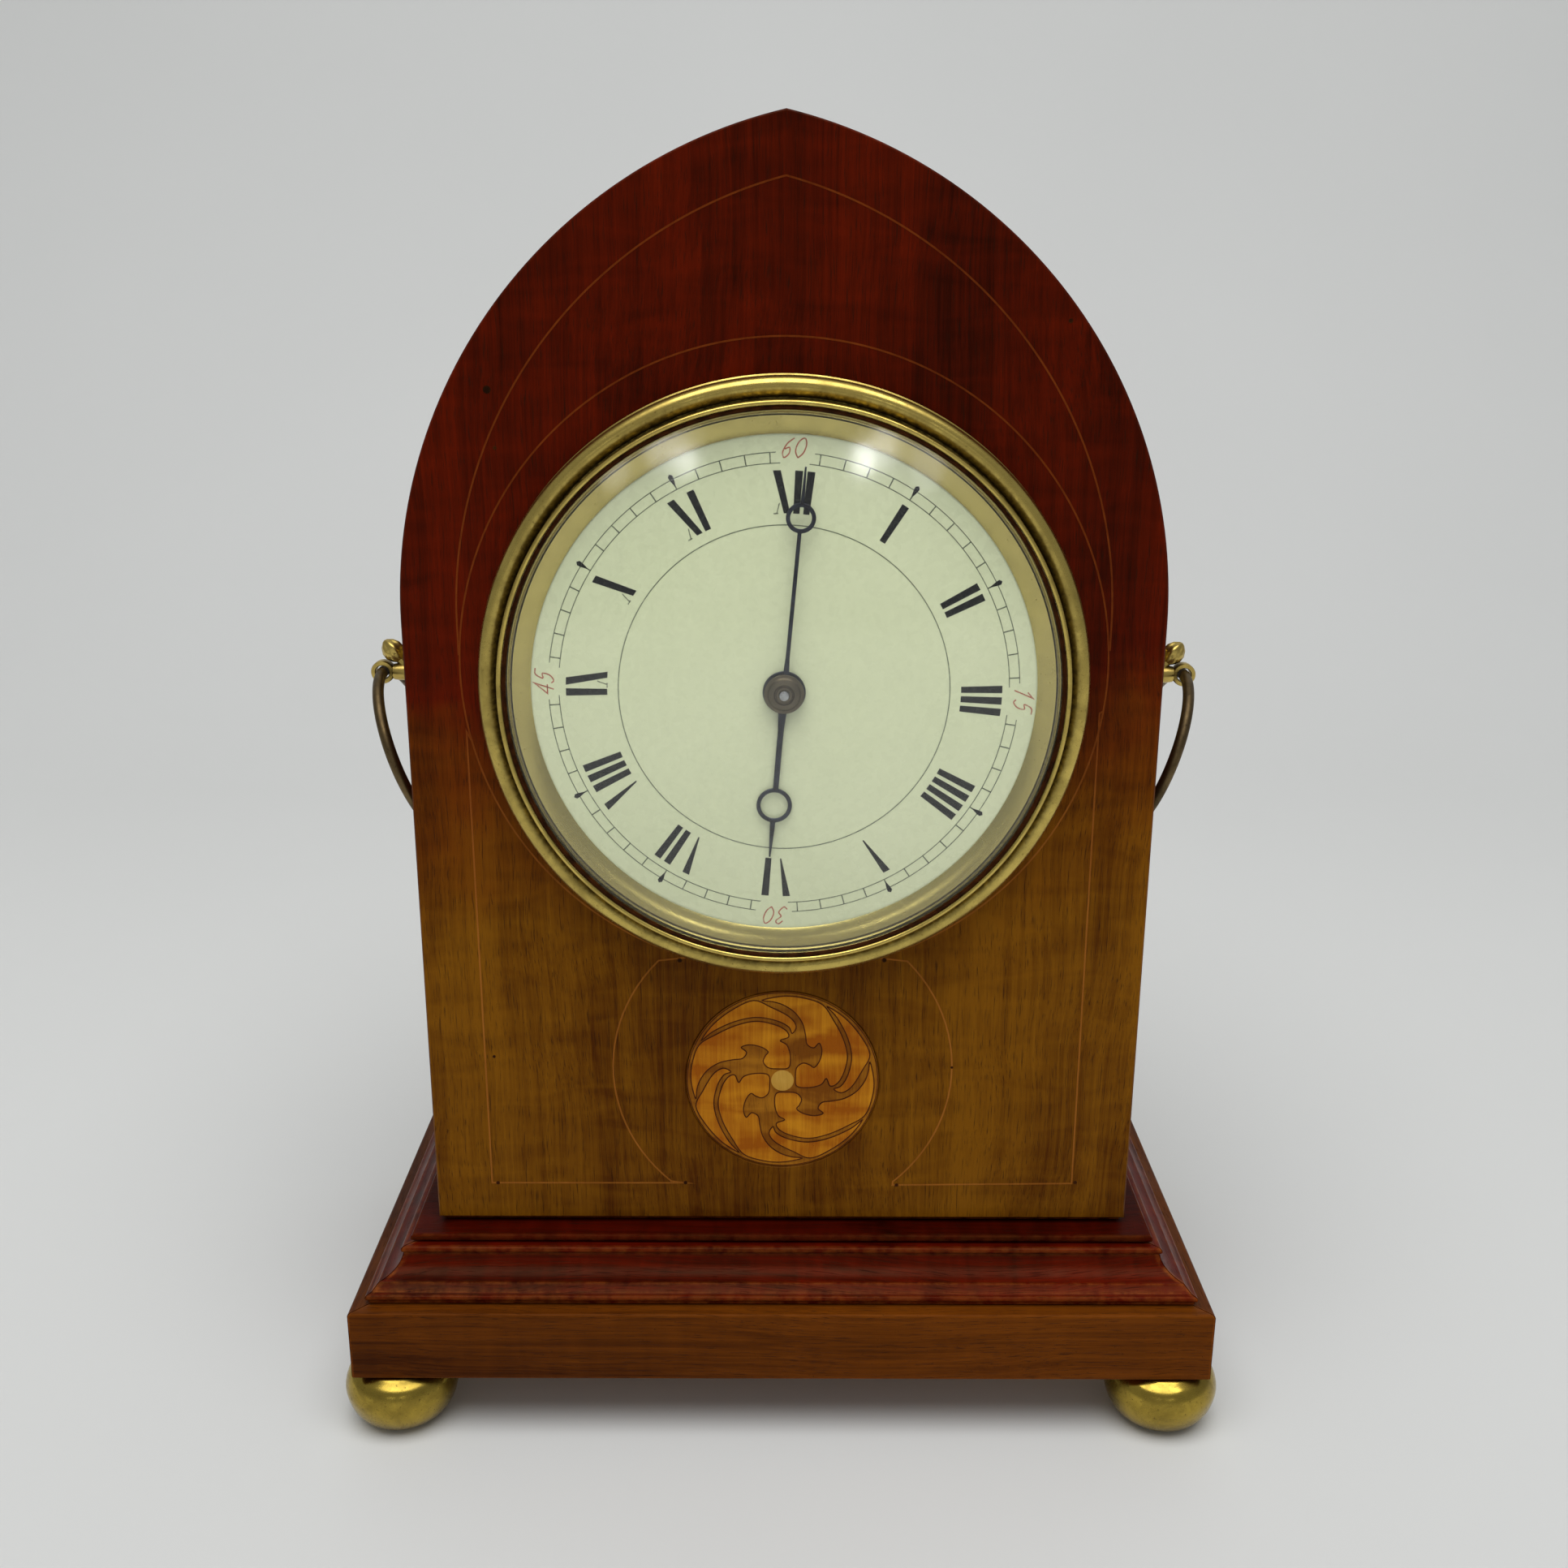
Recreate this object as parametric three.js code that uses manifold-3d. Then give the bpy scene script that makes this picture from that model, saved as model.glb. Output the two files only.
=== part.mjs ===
// A mahogany bracket clock with a pointed (lancet) top, on a moulded plinth with four brass bun feet.
// Millimetres, +Z up. The front of the case looks along -Y and the dial's middle is at x = 0.
//
// The case is a bent and veneered shell between a front panel and a back panel. The dial, with its
// bezel and glass, fills a round hole in the front. The movement hangs on the back of the dial plate:
// two round plates with the going train, the lever escapement and the winding work between and behind
// them. Two straps pull the bezel and the brass back ring together through the case, and a round brass
// door in the back ring opens on the winding square and the hand-setting knob.

import * as THREE from 'three';
import { mergeVertices } from 'three/addons/utils/BufferGeometryUtils.js';
import Module from 'manifold-3d';

const wasm = await Module();
wasm.setup();

// ---------------------------------------------------------------- driving dimensions

const GAP = 0.3; // between pieces that touch
const RUN = 0.35; // round an arbor in its hole
const JOINT = GAP / 2; // each side of a mitre

// Facets round a full circle.
const LARGE_ROUND = 28;
const SMALL_ROUND = 10;

const CASE = {
  width: 180,
  depth: 112,
  springing: 210, // height at which the sides turn into the pointed arch
  arcOffset: 25, // the arch's two centres lie this far past the middle
  wall: 8,
  frontThickness: 10,
  backThickness: 8,
  floorThickness: 8,
};

const BASE = {
  footHeight: 17,
  footRadius: 14.5,
  footOut: 4.2, // how far a foot's round side stands out past the plinth
  plinthHeight: 19.1,
  plinthOverhang: 20.3,
  plinthBoard: 10,
  mouldingHeight: 11.9,
  mouldingBack: 6, // how far the mouldings reach in under the case
  ledgeThickness: 2,
  ledgeOverhang: 6.3,
  arris: 0.6,
  boardThickness: 10,
};

// The base moulding in section: a fillet and a bead, a hollow, and a smaller bead under the case.
const MOULDING = {
  foot: 15.9, // how far out its foot stands
  fillet: 1.1,
  lowBead: 0.7,
  hollow: 6.5,
  highBead: 0.85,
  highBeadOut: 7.7,
  step: 0.1,
};

// A bun foot's outline, in shares of its radius and of its height.
const BUN = [
  [0, 0],
  [0.44, 0],
  [0.7, 0.08],
  [0.905, 0.275],
  [1, 0.563],
  [0.95, 0.8],
  [0.69, 1],
  [0, 1],
];

// The patera stands a little above the middle of the space under the dial's hole.
const PATERA = { radius: 24.6, rise: 2.5, thickness: 2.4 };

const DIAL = {
  height: 195.4,
  face: -6.6, // the enamel's front
  radius: 61.5,
  enamel: 1.3,
  plateThickness: 1.5,
  plateMargin: 0.5, // the plate behind the enamel is this much smaller than the bezel's bore
  footCircle: 33,
  footRadius: 2,
  footCount: 3,
  turned: 2.4, // the dial sits a little clockwise in its bezel, in degrees
};

// The bezel is built outwards from the dial's edge: sight ring, bead, groove, half round and lip.
const BEZEL = {
  sightLap: 3.1, // how far the sight ring laps over the enamel
  sightWidth: 7.3,
  hold: 1, // how far the bead reaches in over the glass
  beadWidth: 1.7,
  groove: 0.3,
  rollWidth: 4,
  lipWidth: 1,
  lip: 1.4,
  rollFront: -8,
  grooveFront: -4,
  beadFront: -11.4,
  skirtWall: 1.8,
  skirtDepth: 3.5,
};

const GLASS = { edge: -8.9, thickness: 1.3, rise: 5.7 };

const HANDS = {
  thickness: 0.6,
  hourFront: -7.9,
  minuteFront: -9.3,
  hourReach: 38,
  hourRing: 26.6,
  hourRingRadius: 4.1,
  minuteReach: 54,
  minuteRing: 42.5,
  minuteRingRadius: 3.4,
  ringWall: 0.95,
  minuteAngle: 2.7, // clockwise from the dial's upright, in degrees
  hourAngle: 182.3,
};

const PLATES = {
  radius: 40,
  thickness: 2,
  front: 8, // the front plate's front face
  between: 28,
  pillarRadius: 2.2,
  pillarCircle: 35.5,
  pillarAngles: [40, 140, 210, 330],
};

// The train, from the mainspring barrel to the escape wheel. A pinion has the module of the wheel
// that drives it. Turns: barrel 1, intermediate 6, centre 36, third 288, fourth 2160, escape 17280.
const TRAIN = {
  barrel: { teeth: 48, module: 0.75, face: 2 },
  intermediate: { pinion: 8, teeth: 36, module: 2 / 3, face: 1.2 },
  centre: { pinion: 6, teeth: 48, module: 0.48, face: 1.1 },
  third: { pinion: 6, teeth: 45, module: 0.42, face: 1 },
  fourth: { pinion: 6, teeth: 48, module: 0.36, face: 0.9 },
  escape: { pinion: 6, teeth: 15, tip: 4.7, root: 3.6, face: 0.6 },
};

// The motion work under the dial: two pairs on one centre distance.
const MOTION = {
  distance: 12,
  cannonTeeth: 8,
  minuteTeeth: 24,
  minutePinion: 6,
  hourTeeth: 24,
  face: 1.4,
  postAngle: -35,
};
const MINUTE_MODULE = (2 * MOTION.distance) / (MOTION.cannonTeeth + MOTION.minuteTeeth);
const HOUR_MODULE = (2 * MOTION.distance) / (MOTION.minutePinion + MOTION.hourTeeth);

// Teeth in shares of the module (heights) and of the pitch (widths).
const TOOTH = { addendum: 0.85, dedendum: 1.35, tipShare: 0.16, rootShare: 1 };
const LEAF = { addendum: 0.6, dedendum: 1.1, tipShare: 0.14, rootShare: 0.5 };

const ARBOR = { radius: 1, pivot: 0.6, shake: 0.5, sides: 6 };
const BARREL = { drum: 15.4, height: 17.6, front: 12.1, arbor: 2.1 };
const RATCHET = { teeth: 20, tip: 7.5, depth: 1, face: 1.5, clear: 0.35 };
const CLICK = { length: 7, lean: -60, touch: 10, hub: 1.6, tip: 0.45 };
const SQUARE = { side: 2.8, end: 53 };
const KNOB = { radius: 5, front: 46.5, length: 5, ribs: 16, ribDepth: 0.5 };

const ESCAPEMENT = {
  leverDistance: 7.6,
  leverAngle: 115, // from the escape wheel
  balanceDistance: 9.5,
  balanceAngle: 165, // from the lever
  leverFace: 1,
  palletSpan: 30,
  palletClear: 0.65,
  pinOrbit: 1.6,
  pinRadius: 0.25,
  slotHalf: 0.45,
  rollerRadius: 2.2,
  balanceRadius: 8.5,
  balanceRim: 1.2,
  balanceFace: 1.2,
  staff: 0.35,
};

const STRAP = { width: 10, sheet: 1.5, inset: 15.2, foot: 9, pad: 6, padDepth: 8, screwInset: 2.1 };
const BACK_RING = { lap: 6.5, strapRoom: 3.5, flange: 8, sheet: 1.3 };
const SCREW = { shank: 1.1, head: 2.1, headHeight: 0.9, length: 8 };
const DOOR = {
  lap: 1.4, // how far the door covers the back ring
  sheet: 1.1,
  rim: 2.2,
  rimHeight: 1.2,
  hingeOut: 4.2,
  knuckle: 1.9,
  pin: 0.8,
  knuckleLength: 5,
  knobRadius: 2.9,
  knobInset: 8.4,
  knobLength: 7,
};

const HANDLE = {
  depth: 52, // behind the case front
  pivotHeight: 186.5,
  standOff: 17.8, // from the case side to the ring's pivot
  ringRadius: 23,
  ringTube: 1.5,
  plateRadius: 12,
  plateThickness: 1.8,
  neck: 2.9,
  eyeOuter: 3.1,
  eyeInner: 1.85,
  eyeThickness: 3.4,
  budRadius: 2.8,
  budRise: 10.5,
  budInset: 1, // the bud's middle, inward of the pivot
  stemInset: 7.5, // where its stem leaves the arm
};

// ---------------------------------------------------------------- levels worked out from them

const halfWidth = CASE.width / 2;
const plinthBottom = BASE.footHeight;
const plinthTop = plinthBottom + BASE.plinthHeight;
const mouldingTop = plinthTop + BASE.mouldingHeight;
const ledgeBottom = mouldingTop + GAP;
const caseBottom = ledgeBottom + BASE.ledgeThickness;
const caseBack = CASE.depth;
const plinthHalf = halfWidth + BASE.plinthOverhang;

const sightInner = DIAL.radius - BEZEL.sightLap;
const bezelBore = sightInner + BEZEL.sightWidth;
const beadInner = bezelBore - BEZEL.hold;
const beadOuter = beadInner + BEZEL.beadWidth;
const rollInner = beadOuter + BEZEL.groove;
const rollOuter = rollInner + BEZEL.rollWidth;
const bezelOuter = rollOuter + BEZEL.lipWidth;
const dialPlateRadius = bezelBore - DIAL.plateMargin;
const holeRadius = bezelBore + BEZEL.skirtWall + GAP;
const pateraHeight = (caseBottom + GAP + DIAL.height - holeRadius) / 2 + PATERA.rise;

const strapRadius = bezelBore - STRAP.inset; // inner face of the straps
const screwCircle = strapRadius - STRAP.screwInset;
const backRingBore = strapRadius - BACK_RING.lap;
const backOpening = strapRadius + BACK_RING.strapRoom;
const backRingOuter = backOpening + BACK_RING.flange;
const doorRadius = backRingBore + DOOR.lap;
const hingePlace = doorRadius + DOOR.hingeOut;
const knobPlace = doorRadius - DOOR.knobInset;

const plateBack = PLATES.front + PLATES.thickness; // inner face of the front plate
const rearPlate = plateBack + PLATES.between; // inner face of the back plate
const rearOutside = rearPlate + PLATES.thickness;

const DEG = Math.PI / 180;

// ---------------------------------------------------------------- solids

function signedVolume(position, triangles) {
  const corner = (i) => new THREE.Vector3().fromArray(position, 3 * i);
  let volume = 0;
  for (let t = 0; t < triangles.length; t += 3) {
    const a = corner(triangles[t]);
    const b = corner(triangles[t + 1]);
    const c = corner(triangles[t + 2]);
    volume += a.dot(b.cross(c)) / 6;
  }
  return volume;
}

// A closed three.js geometry as a solid, with its faces pointing out.
function solid(geometry) {
  const bare = geometry.clone();
  bare.deleteAttribute('normal');
  bare.deleteAttribute('uv');
  const merged = mergeVertices(bare, 1e-4);
  const position = merged.attributes.position.array;
  const index = merged.index.array;
  const triangles = [];
  for (let t = 0; t < index.length; t += 3) {
    const [a, b, c] = [index[t], index[t + 1], index[t + 2]];
    if (a !== b && b !== c && c !== a) triangles.push(a, b, c);
  }
  if (signedVolume(position, triangles) < 0) triangles.reverse();
  return new wasm.Manifold(
    new wasm.Mesh({
      numProp: 3,
      vertProperties: new Float32Array(position),
      triVerts: new Uint32Array(triangles),
    }),
  );
}

function union(...pieces) {
  return pieces.reduce((whole, piece) => whole.add(piece));
}

function cut(body, ...tools) {
  return tools.reduce((rest, tool) => rest.subtract(tool), body);
}

function toGeometry(body) {
  const mesh = body.getMesh();
  const geometry = new THREE.BufferGeometry();
  geometry.setAttribute('position', new THREE.BufferAttribute(new Float32Array(mesh.vertProperties), 3));
  geometry.setIndex(new THREE.BufferAttribute(new Uint32Array(mesh.triVerts), 1));
  geometry.computeVertexNormals();
  return geometry;
}

// ---------------------------------------------------------------- outlines and simple forms

const point = (x, y) => new THREE.Vector2(x, y);

function polar(radius, degrees, centre = point(0, 0)) {
  return point(centre.x + radius * Math.cos(degrees * DEG), centre.y + radius * Math.sin(degrees * DEG));
}

function arc(centre, radius, from, to, steps) {
  const points = [];
  for (let i = 0; i <= steps; i += 1) {
    points.push(polar(radius, from + ((to - from) * i) / steps, centre));
  }
  return points;
}

function circle(centre, radius, steps) {
  return arc(centre, radius, 0, 360 - 360 / steps, steps - 1);
}

function shapeOf(outline, holes = []) {
  const shape = new THREE.Shape(outline);
  holes.forEach((hole) => shape.holes.push(new THREE.Path(hole)));
  return shape;
}

function flat(outline, thickness, holes = []) {
  return new THREE.ExtrudeGeometry(shapeOf(outline, holes), { depth: thickness, bevelEnabled: false });
}

// An outline drawn as seen from the front (x right, z up) and carried back from y0 to y1.
function slabY(outline, y0, y1, holes = []) {
  const geometry = flat(outline, y1 - y0, holes);
  geometry.rotateX(Math.PI / 2);
  geometry.translate(0, y1, 0);
  return solid(geometry);
}

// An outline drawn in plan (x right, y back) and carried up from z0 to z1.
function slabZ(outline, z0, z1, holes = []) {
  const geometry = flat(outline, z1 - z0, holes);
  geometry.translate(0, 0, z0);
  return solid(geometry);
}

// An outline drawn as seen from the right (y across, z up) and carried from x0 to x1.
function slabX(outline, x0, x1) {
  const geometry = flat(outline, x1 - x0);
  geometry.rotateX(Math.PI / 2);
  geometry.rotateZ(Math.PI / 2);
  geometry.translate(x0, 0, 0);
  return solid(geometry);
}

function box(x0, x1, y0, y1, z0, z1) {
  const geometry = new THREE.BoxGeometry(x1 - x0, y1 - y0, z1 - z0);
  geometry.translate((x0 + x1) / 2, (y0 + y1) / 2, (z0 + z1) / 2);
  return solid(geometry);
}

// A turned piece on an axis along Y. The profile's points are (radius, y).
function turnedY(profile, centre, steps) {
  const geometry = new THREE.LatheGeometry(profile, steps);
  geometry.translate(centre.x, 0, centre.y);
  return solid(geometry);
}

// A turned piece on an upright axis. The profile's points are (radius, z).
function turnedZ(profile, x, y, steps) {
  const geometry = new THREE.LatheGeometry(profile, steps);
  geometry.rotateX(Math.PI / 2);
  geometry.translate(x, y, 0);
  return solid(geometry);
}

const closed = (profile) => [...profile, profile[0].clone()];

function rodY(centre, radius, y0, y1, steps = SMALL_ROUND) {
  return slabY(circle(centre, radius, steps), y0, y1);
}

// ---------------------------------------------------------------- where the arbors stand

const CENTRE = point(0, DIAL.height);
const pitchRadius = (teeth, module) => (teeth * module) / 2;

function gearDistance(wheel, pinionTeeth) {
  return pitchRadius(wheel.teeth + pinionTeeth, wheel.module);
}

const barrelDistance = BARREL.drum + 4.6;
const BARREL_AT = polar(barrelDistance, -90, CENTRE);
const INTERMEDIATE_AT = thirdCorner(
  CENTRE,
  gearDistance(TRAIN.intermediate, TRAIN.centre.pinion),
  BARREL_AT,
  gearDistance(TRAIN.barrel, TRAIN.intermediate.pinion),
);
const THIRD_AT = polar(gearDistance(TRAIN.centre, TRAIN.third.pinion), 120, CENTRE);
const FOURTH_AT = polar(gearDistance(TRAIN.third, TRAIN.fourth.pinion), 20, THIRD_AT);
const ESCAPE_AT = polar(gearDistance(TRAIN.fourth, TRAIN.escape.pinion), 10, FOURTH_AT);
const LEVER_AT = polar(ESCAPEMENT.leverDistance, ESCAPEMENT.leverAngle, ESCAPE_AT);
const BALANCE_AT = polar(ESCAPEMENT.balanceDistance, ESCAPEMENT.balanceAngle, LEVER_AT);
const MINUTE_AT = polar(MOTION.distance, MOTION.postAngle, CENTRE);

// The corner, on the right, of a triangle that stands on two upright-aligned corners.
function thirdCorner(top, fromTop, bottom, fromBottom) {
  const base = top.y - bottom.y;
  const down = (base * base + fromTop * fromTop - fromBottom * fromBottom) / (2 * base);
  return point(top.x + Math.sqrt(fromTop * fromTop - down * down), top.y - down);
}

function bearing(from, to) {
  return Math.atan2(to.y - from.y, to.x - from.x) / DEG;
}

// ---------------------------------------------------------------- gears

// Teeth with straight flanks. Where their roots take up the whole pitch, the gaps end in a point.
function toothed(centre, teeth, module, form, phase) {
  const pitch = 360 / teeth;
  const tip = pitchRadius(teeth, module) + form.addendum * module;
  const root = pitchRadius(teeth, module) - form.dedendum * module;
  const points = [];
  for (let i = 0; i < teeth; i += 1) {
    const middle = phase + i * pitch;
    points.push(
      polar(root, middle - (form.rootShare * pitch) / 2, centre),
      polar(tip, middle - (form.tipShare * pitch) / 2, centre),
      polar(tip, middle + (form.tipShare * pitch) / 2, centre),
    );
    if (form.rootShare < 1) points.push(polar(root, middle + (form.rootShare * pitch) / 2, centre));
  }
  return points;
}

// The phase at which a gear's gap meets the driving gear's tooth on the line of centres.
function meshPhase(driverTeeth, driverPhase, from, to, teeth) {
  const line = bearing(from, to);
  const offset = driverPhase - line;
  return line + 180 + 180 / teeth - (offset * driverTeeth) / teeth;
}

// The openings between a wheel's arms.
function crossings(centre, inner, outer, arms, armWidth, phase) {
  const holes = [];
  for (let i = 0; i < arms; i += 1) {
    const middle = phase + ((i + 0.5) * 360) / arms;
    const wide = 180 / arms - armWidth / 2 / outer / DEG;
    const narrow = 180 / arms - armWidth / 2 / inner / DEG;
    holes.push([
      ...arc(centre, outer, middle - wide, middle + wide, 2),
      ...arc(centre, inner, middle + narrow, middle - narrow, 1),
    ]);
  }
  return holes;
}

function wheel(centre, size, y0, phase, crossed = true) {
  const root = pitchRadius(size.teeth, size.module) - TOOTH.dedendum * size.module;
  const rim = root - 1.8 * size.module;
  const holes = crossed ? crossings(centre, rim * 0.34, rim, 5, rim * 0.14, phase) : [];
  return slabY(toothed(centre, size.teeth, size.module, TOOTH, phase), y0, y0 + size.face, holes);
}

function pinion(centre, teeth, module, y0, y1, phase) {
  return slabY(toothed(centre, teeth, module, LEAF, phase), y0, y1);
}

// An arbor's pivots run in both plates, and its shoulders keep it in place.
function arbor(centre, front = PLATES.front, back = rearOutside, radius = ARBOR.radius) {
  return union(
    rodY(centre, radius, plateBack + ARBOR.shake, rearPlate - ARBOR.shake, ARBOR.sides),
    rodY(centre, ARBOR.pivot, front, back, ARBOR.sides),
  );
}

// Where each wheel stands between the plates. The drum fills the front of the space, so the
// intermediate and centre wheels pass behind it.
const PLANE = {
  barrel: BARREL.front,
  intermediate: BARREL.front + BARREL.height + 2,
  centre: rearPlate - 1.9,
  third: plateBack + 18,
  fourth: plateBack + 12,
  escape: plateBack + 16,
};

const PHASE = trainPhases();

function trainPhases() {
  const phase = { barrel: 0, intermediate: 0, centre: 0, third: 0, fourth: 0 };
  phase.intermediatePinion = meshPhase(
    TRAIN.barrel.teeth, phase.barrel, BARREL_AT, INTERMEDIATE_AT, TRAIN.intermediate.pinion,
  );
  phase.centrePinion = meshPhase(
    TRAIN.intermediate.teeth, phase.intermediate, INTERMEDIATE_AT, CENTRE, TRAIN.centre.pinion,
  );
  phase.thirdPinion = meshPhase(TRAIN.centre.teeth, phase.centre, CENTRE, THIRD_AT, TRAIN.third.pinion);
  phase.fourthPinion = meshPhase(TRAIN.third.teeth, phase.third, THIRD_AT, FOURTH_AT, TRAIN.fourth.pinion);
  phase.escapePinion = meshPhase(TRAIN.fourth.teeth, phase.fourth, FOURTH_AT, ESCAPE_AT, TRAIN.escape.pinion);
  phase.cannon = 0;
  phase.minuteWheel = meshPhase(MOTION.cannonTeeth, phase.cannon, CENTRE, MINUTE_AT, MOTION.minuteTeeth);
  phase.minutePinion = 0;
  phase.hourWheel = meshPhase(MOTION.minutePinion, phase.minutePinion, MINUTE_AT, CENTRE, MOTION.hourTeeth);
  return phase;
}

// A pinion's leaves start a little in front of the wheel that drives it, and end a little behind.
function drivenSpan(driver, size) {
  return [driver - 0.6, driver + size.face + 0.6];
}

function barrel() {
  const { drum, height, front } = BARREL;
  const great = wheel(BARREL_AT, TRAIN.barrel, front, PHASE.barrel, false);
  const profile = [
    point(0, front),
    point(drum, front),
    point(drum, front + height - 0.8),
    point(drum - 0.8, front + height),
    point(4, front + height),
    point(4, front + height + 0.8),
    point(0, front + height + 0.8),
  ];
  const bore = rodY(BARREL_AT, BARREL.arbor + RUN, front - 1, front + height + 2);
  return cut(union(great, turnedY(profile, BARREL_AT, 20)), bore);
}

function barrelArbor() {
  const half = SQUARE.side / 2;
  const square = [-half, half].flatMap((dx) => [-half, half].map((dz) => [dx, dz]));
  const corners = [square[0], square[2], square[3], square[1]];
  const outline = corners.map(([dx, dz]) => point(BARREL_AT.x + dx, BARREL_AT.y + dz));
  const ratchetFront = rearOutside + 2 * GAP;
  return union(
    rodY(BARREL_AT, BARREL.arbor - 0.7, PLATES.front - 0.5, plateBack + 0.5),
    rodY(BARREL_AT, BARREL.arbor, plateBack + 0.4, ratchetFront - 0.2),
    slabY(outline, ratchetFront - 0.3, SQUARE.end),
  );
}

function intermediateWheel() {
  const size = TRAIN.intermediate;
  const [y0, y1] = drivenSpan(PLANE.barrel, TRAIN.barrel);
  return union(
    arbor(INTERMEDIATE_AT),
    pinion(INTERMEDIATE_AT, size.pinion, TRAIN.barrel.module, y0, y1, PHASE.intermediatePinion),
    wheel(INTERMEDIATE_AT, size, PLANE.intermediate, PHASE.intermediate),
  );
}

// The centre arbor runs from the minute hand's collet to the setting knob behind the back plate.
function centreWheel() {
  const size = TRAIN.centre;
  const pinionFront = PLANE.intermediate - 0.5;
  return union(
    rodY(CENTRE, ARBOR.radius, HANDS.minuteFront - 2.2, KNOB.front + 3, 8),
    pinion(CENTRE, size.pinion, TRAIN.intermediate.module, pinionFront, PLANE.centre, PHASE.centrePinion),
    wheel(CENTRE, size, PLANE.centre, PHASE.centre),
  );
}

function thirdWheel() {
  const size = TRAIN.third;
  const [y0, y1] = drivenSpan(PLANE.centre, TRAIN.centre);
  return union(
    arbor(THIRD_AT, PLATES.front, rearOutside, 0.8),
    pinion(THIRD_AT, size.pinion, TRAIN.centre.module, y0, y1, PHASE.thirdPinion),
    wheel(THIRD_AT, size, PLANE.third, PHASE.third),
  );
}

function fourthWheel() {
  const size = TRAIN.fourth;
  const [y0, y1] = drivenSpan(PLANE.third, TRAIN.third);
  return union(
    arbor(FOURTH_AT, PLATES.front, rearOutside, 0.7),
    pinion(FOURTH_AT, size.pinion, TRAIN.third.module, y0, y1, PHASE.fourthPinion),
    wheel(FOURTH_AT, size, PLANE.fourth, PHASE.fourth),
  );
}

// Club teeth lean the way the wheel turns, which is clockwise from the front.
function escapeWheel() {
  const { teeth, tip, root, face, pinion: leaves } = TRAIN.escape;
  const pitch = 360 / teeth;
  const outline = [];
  for (let i = 0; i < teeth; i += 1) {
    const middle = i * pitch;
    outline.push(
      polar(root, middle - pitch * 0.4, ESCAPE_AT),
      polar(tip * 0.97, middle - pitch * 0.2, ESCAPE_AT),
      polar(tip, middle, ESCAPE_AT),
      polar(root, middle + pitch * 0.12, ESCAPE_AT),
    );
  }
  const holes = crossings(ESCAPE_AT, root * 0.42, root * 0.78, 4, root * 0.18, 0);
  const [y0, y1] = drivenSpan(PLANE.fourth, TRAIN.fourth);
  return union(
    arbor(ESCAPE_AT, PLATES.front, rearOutside, 0.6),
    pinion(ESCAPE_AT, leaves, TRAIN.fourth.module, y0, y1, PHASE.escapePinion),
    slabY(outline, PLANE.escape, PLANE.escape + face, holes),
  );
}

// ---------------------------------------------------------------- escapement and winding work

// The lever: an anchor over the escape wheel and a forked arm to the balance roller.
function lever() {
  const { palletSpan, palletClear, leverFace, slotHalf, pinOrbit, balanceDistance } = ESCAPEMENT;
  const y0 = PLANE.escape - (leverFace - TRAIN.escape.face) / 2;
  const toEscape = bearing(LEVER_AT, ESCAPE_AT);
  const toBalance = bearing(LEVER_AT, BALANCE_AT);
  const reach = TRAIN.escape.tip + palletClear;
  const place = (along, across, direction) => {
    const base = polar(along, direction, LEVER_AT);
    return polar(across, direction + 90, base);
  };
  const palletAlong = ESCAPEMENT.leverDistance - reach * Math.cos(palletSpan * DEG);
  const palletAcross = reach * Math.sin(palletSpan * DEG);
  const anchor = [];
  [-1, 1].forEach((side) => {
    const half = [
      [-0.9, 0],
      [-0.5, 0.9],
      [palletAlong - 1.6, palletAcross + 0.9],
      [palletAlong + 0.2, palletAcross + 0.6],
      [palletAlong, palletAcross],
      [palletAlong - 1, palletAcross - 0.4],
      [1, 0],
    ];
    const points = half.map(([along, across]) => place(along, side * across, toEscape));
    anchor.push(slabY(side > 0 ? points : points.reverse(), y0, y0 + leverFace));
  });
  const slotStart = balanceDistance - pinOrbit - 0.8;
  const slotEnd = balanceDistance - pinOrbit + 0.7;
  const fork = [
    [0, -0.8],
    [slotStart - 0.8, -0.45],
    [slotStart - 0.3, -1],
    [slotEnd, -1.05],
    [slotEnd, -slotHalf],
    [slotStart, -slotHalf],
    [slotStart, slotHalf],
    [slotEnd, slotHalf],
    [slotEnd, 1.05],
    [slotStart - 0.3, 1],
    [slotStart - 0.8, 0.45],
    [0, 0.8],
  ].map(([along, across]) => place(along, across, toBalance));
  return union(
    rodY(LEVER_AT, 0.5, PLATES.front, rearOutside, ARBOR.sides),
    rodY(LEVER_AT, 1.1, y0, y0 + leverFace, 10),
    slabY(fork, y0, y0 + leverFace),
    ...anchor,
  );
}

// The balance: rim and arms behind the back plate, roller and impulse pin at the fork.
function balance() {
  const { balanceRadius, balanceRim, balanceFace, staff, rollerRadius, pinOrbit, pinRadius } = ESCAPEMENT;
  const rimFront = rearOutside + 2.4;
  const forkFront = PLANE.escape - 0.2;
  const rollerFront = forkFront + ESCAPEMENT.leverFace + 0.5;
  const toLever = bearing(BALANCE_AT, LEVER_AT);
  const inner = balanceRadius - balanceRim;
  return union(
    rodY(BALANCE_AT, staff, PLATES.front, rearOutside + 8, ARBOR.sides),
    rodY(BALANCE_AT, 0.9, rollerFront, rearOutside + 4.2, ARBOR.sides),
    rodY(BALANCE_AT, rollerRadius, rollerFront, rollerFront + 1, 12),
    rodY(polar(pinOrbit, toLever, BALANCE_AT), pinRadius, forkFront - 0.2, rollerFront + 0.5, 6),
    slabY(circle(BALANCE_AT, balanceRadius, 20), rimFront, rimFront + balanceFace, [
      ...crossings(BALANCE_AT, inner * 0.25, inner, 3, 1.4, 20),
    ]),
  );
}

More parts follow.
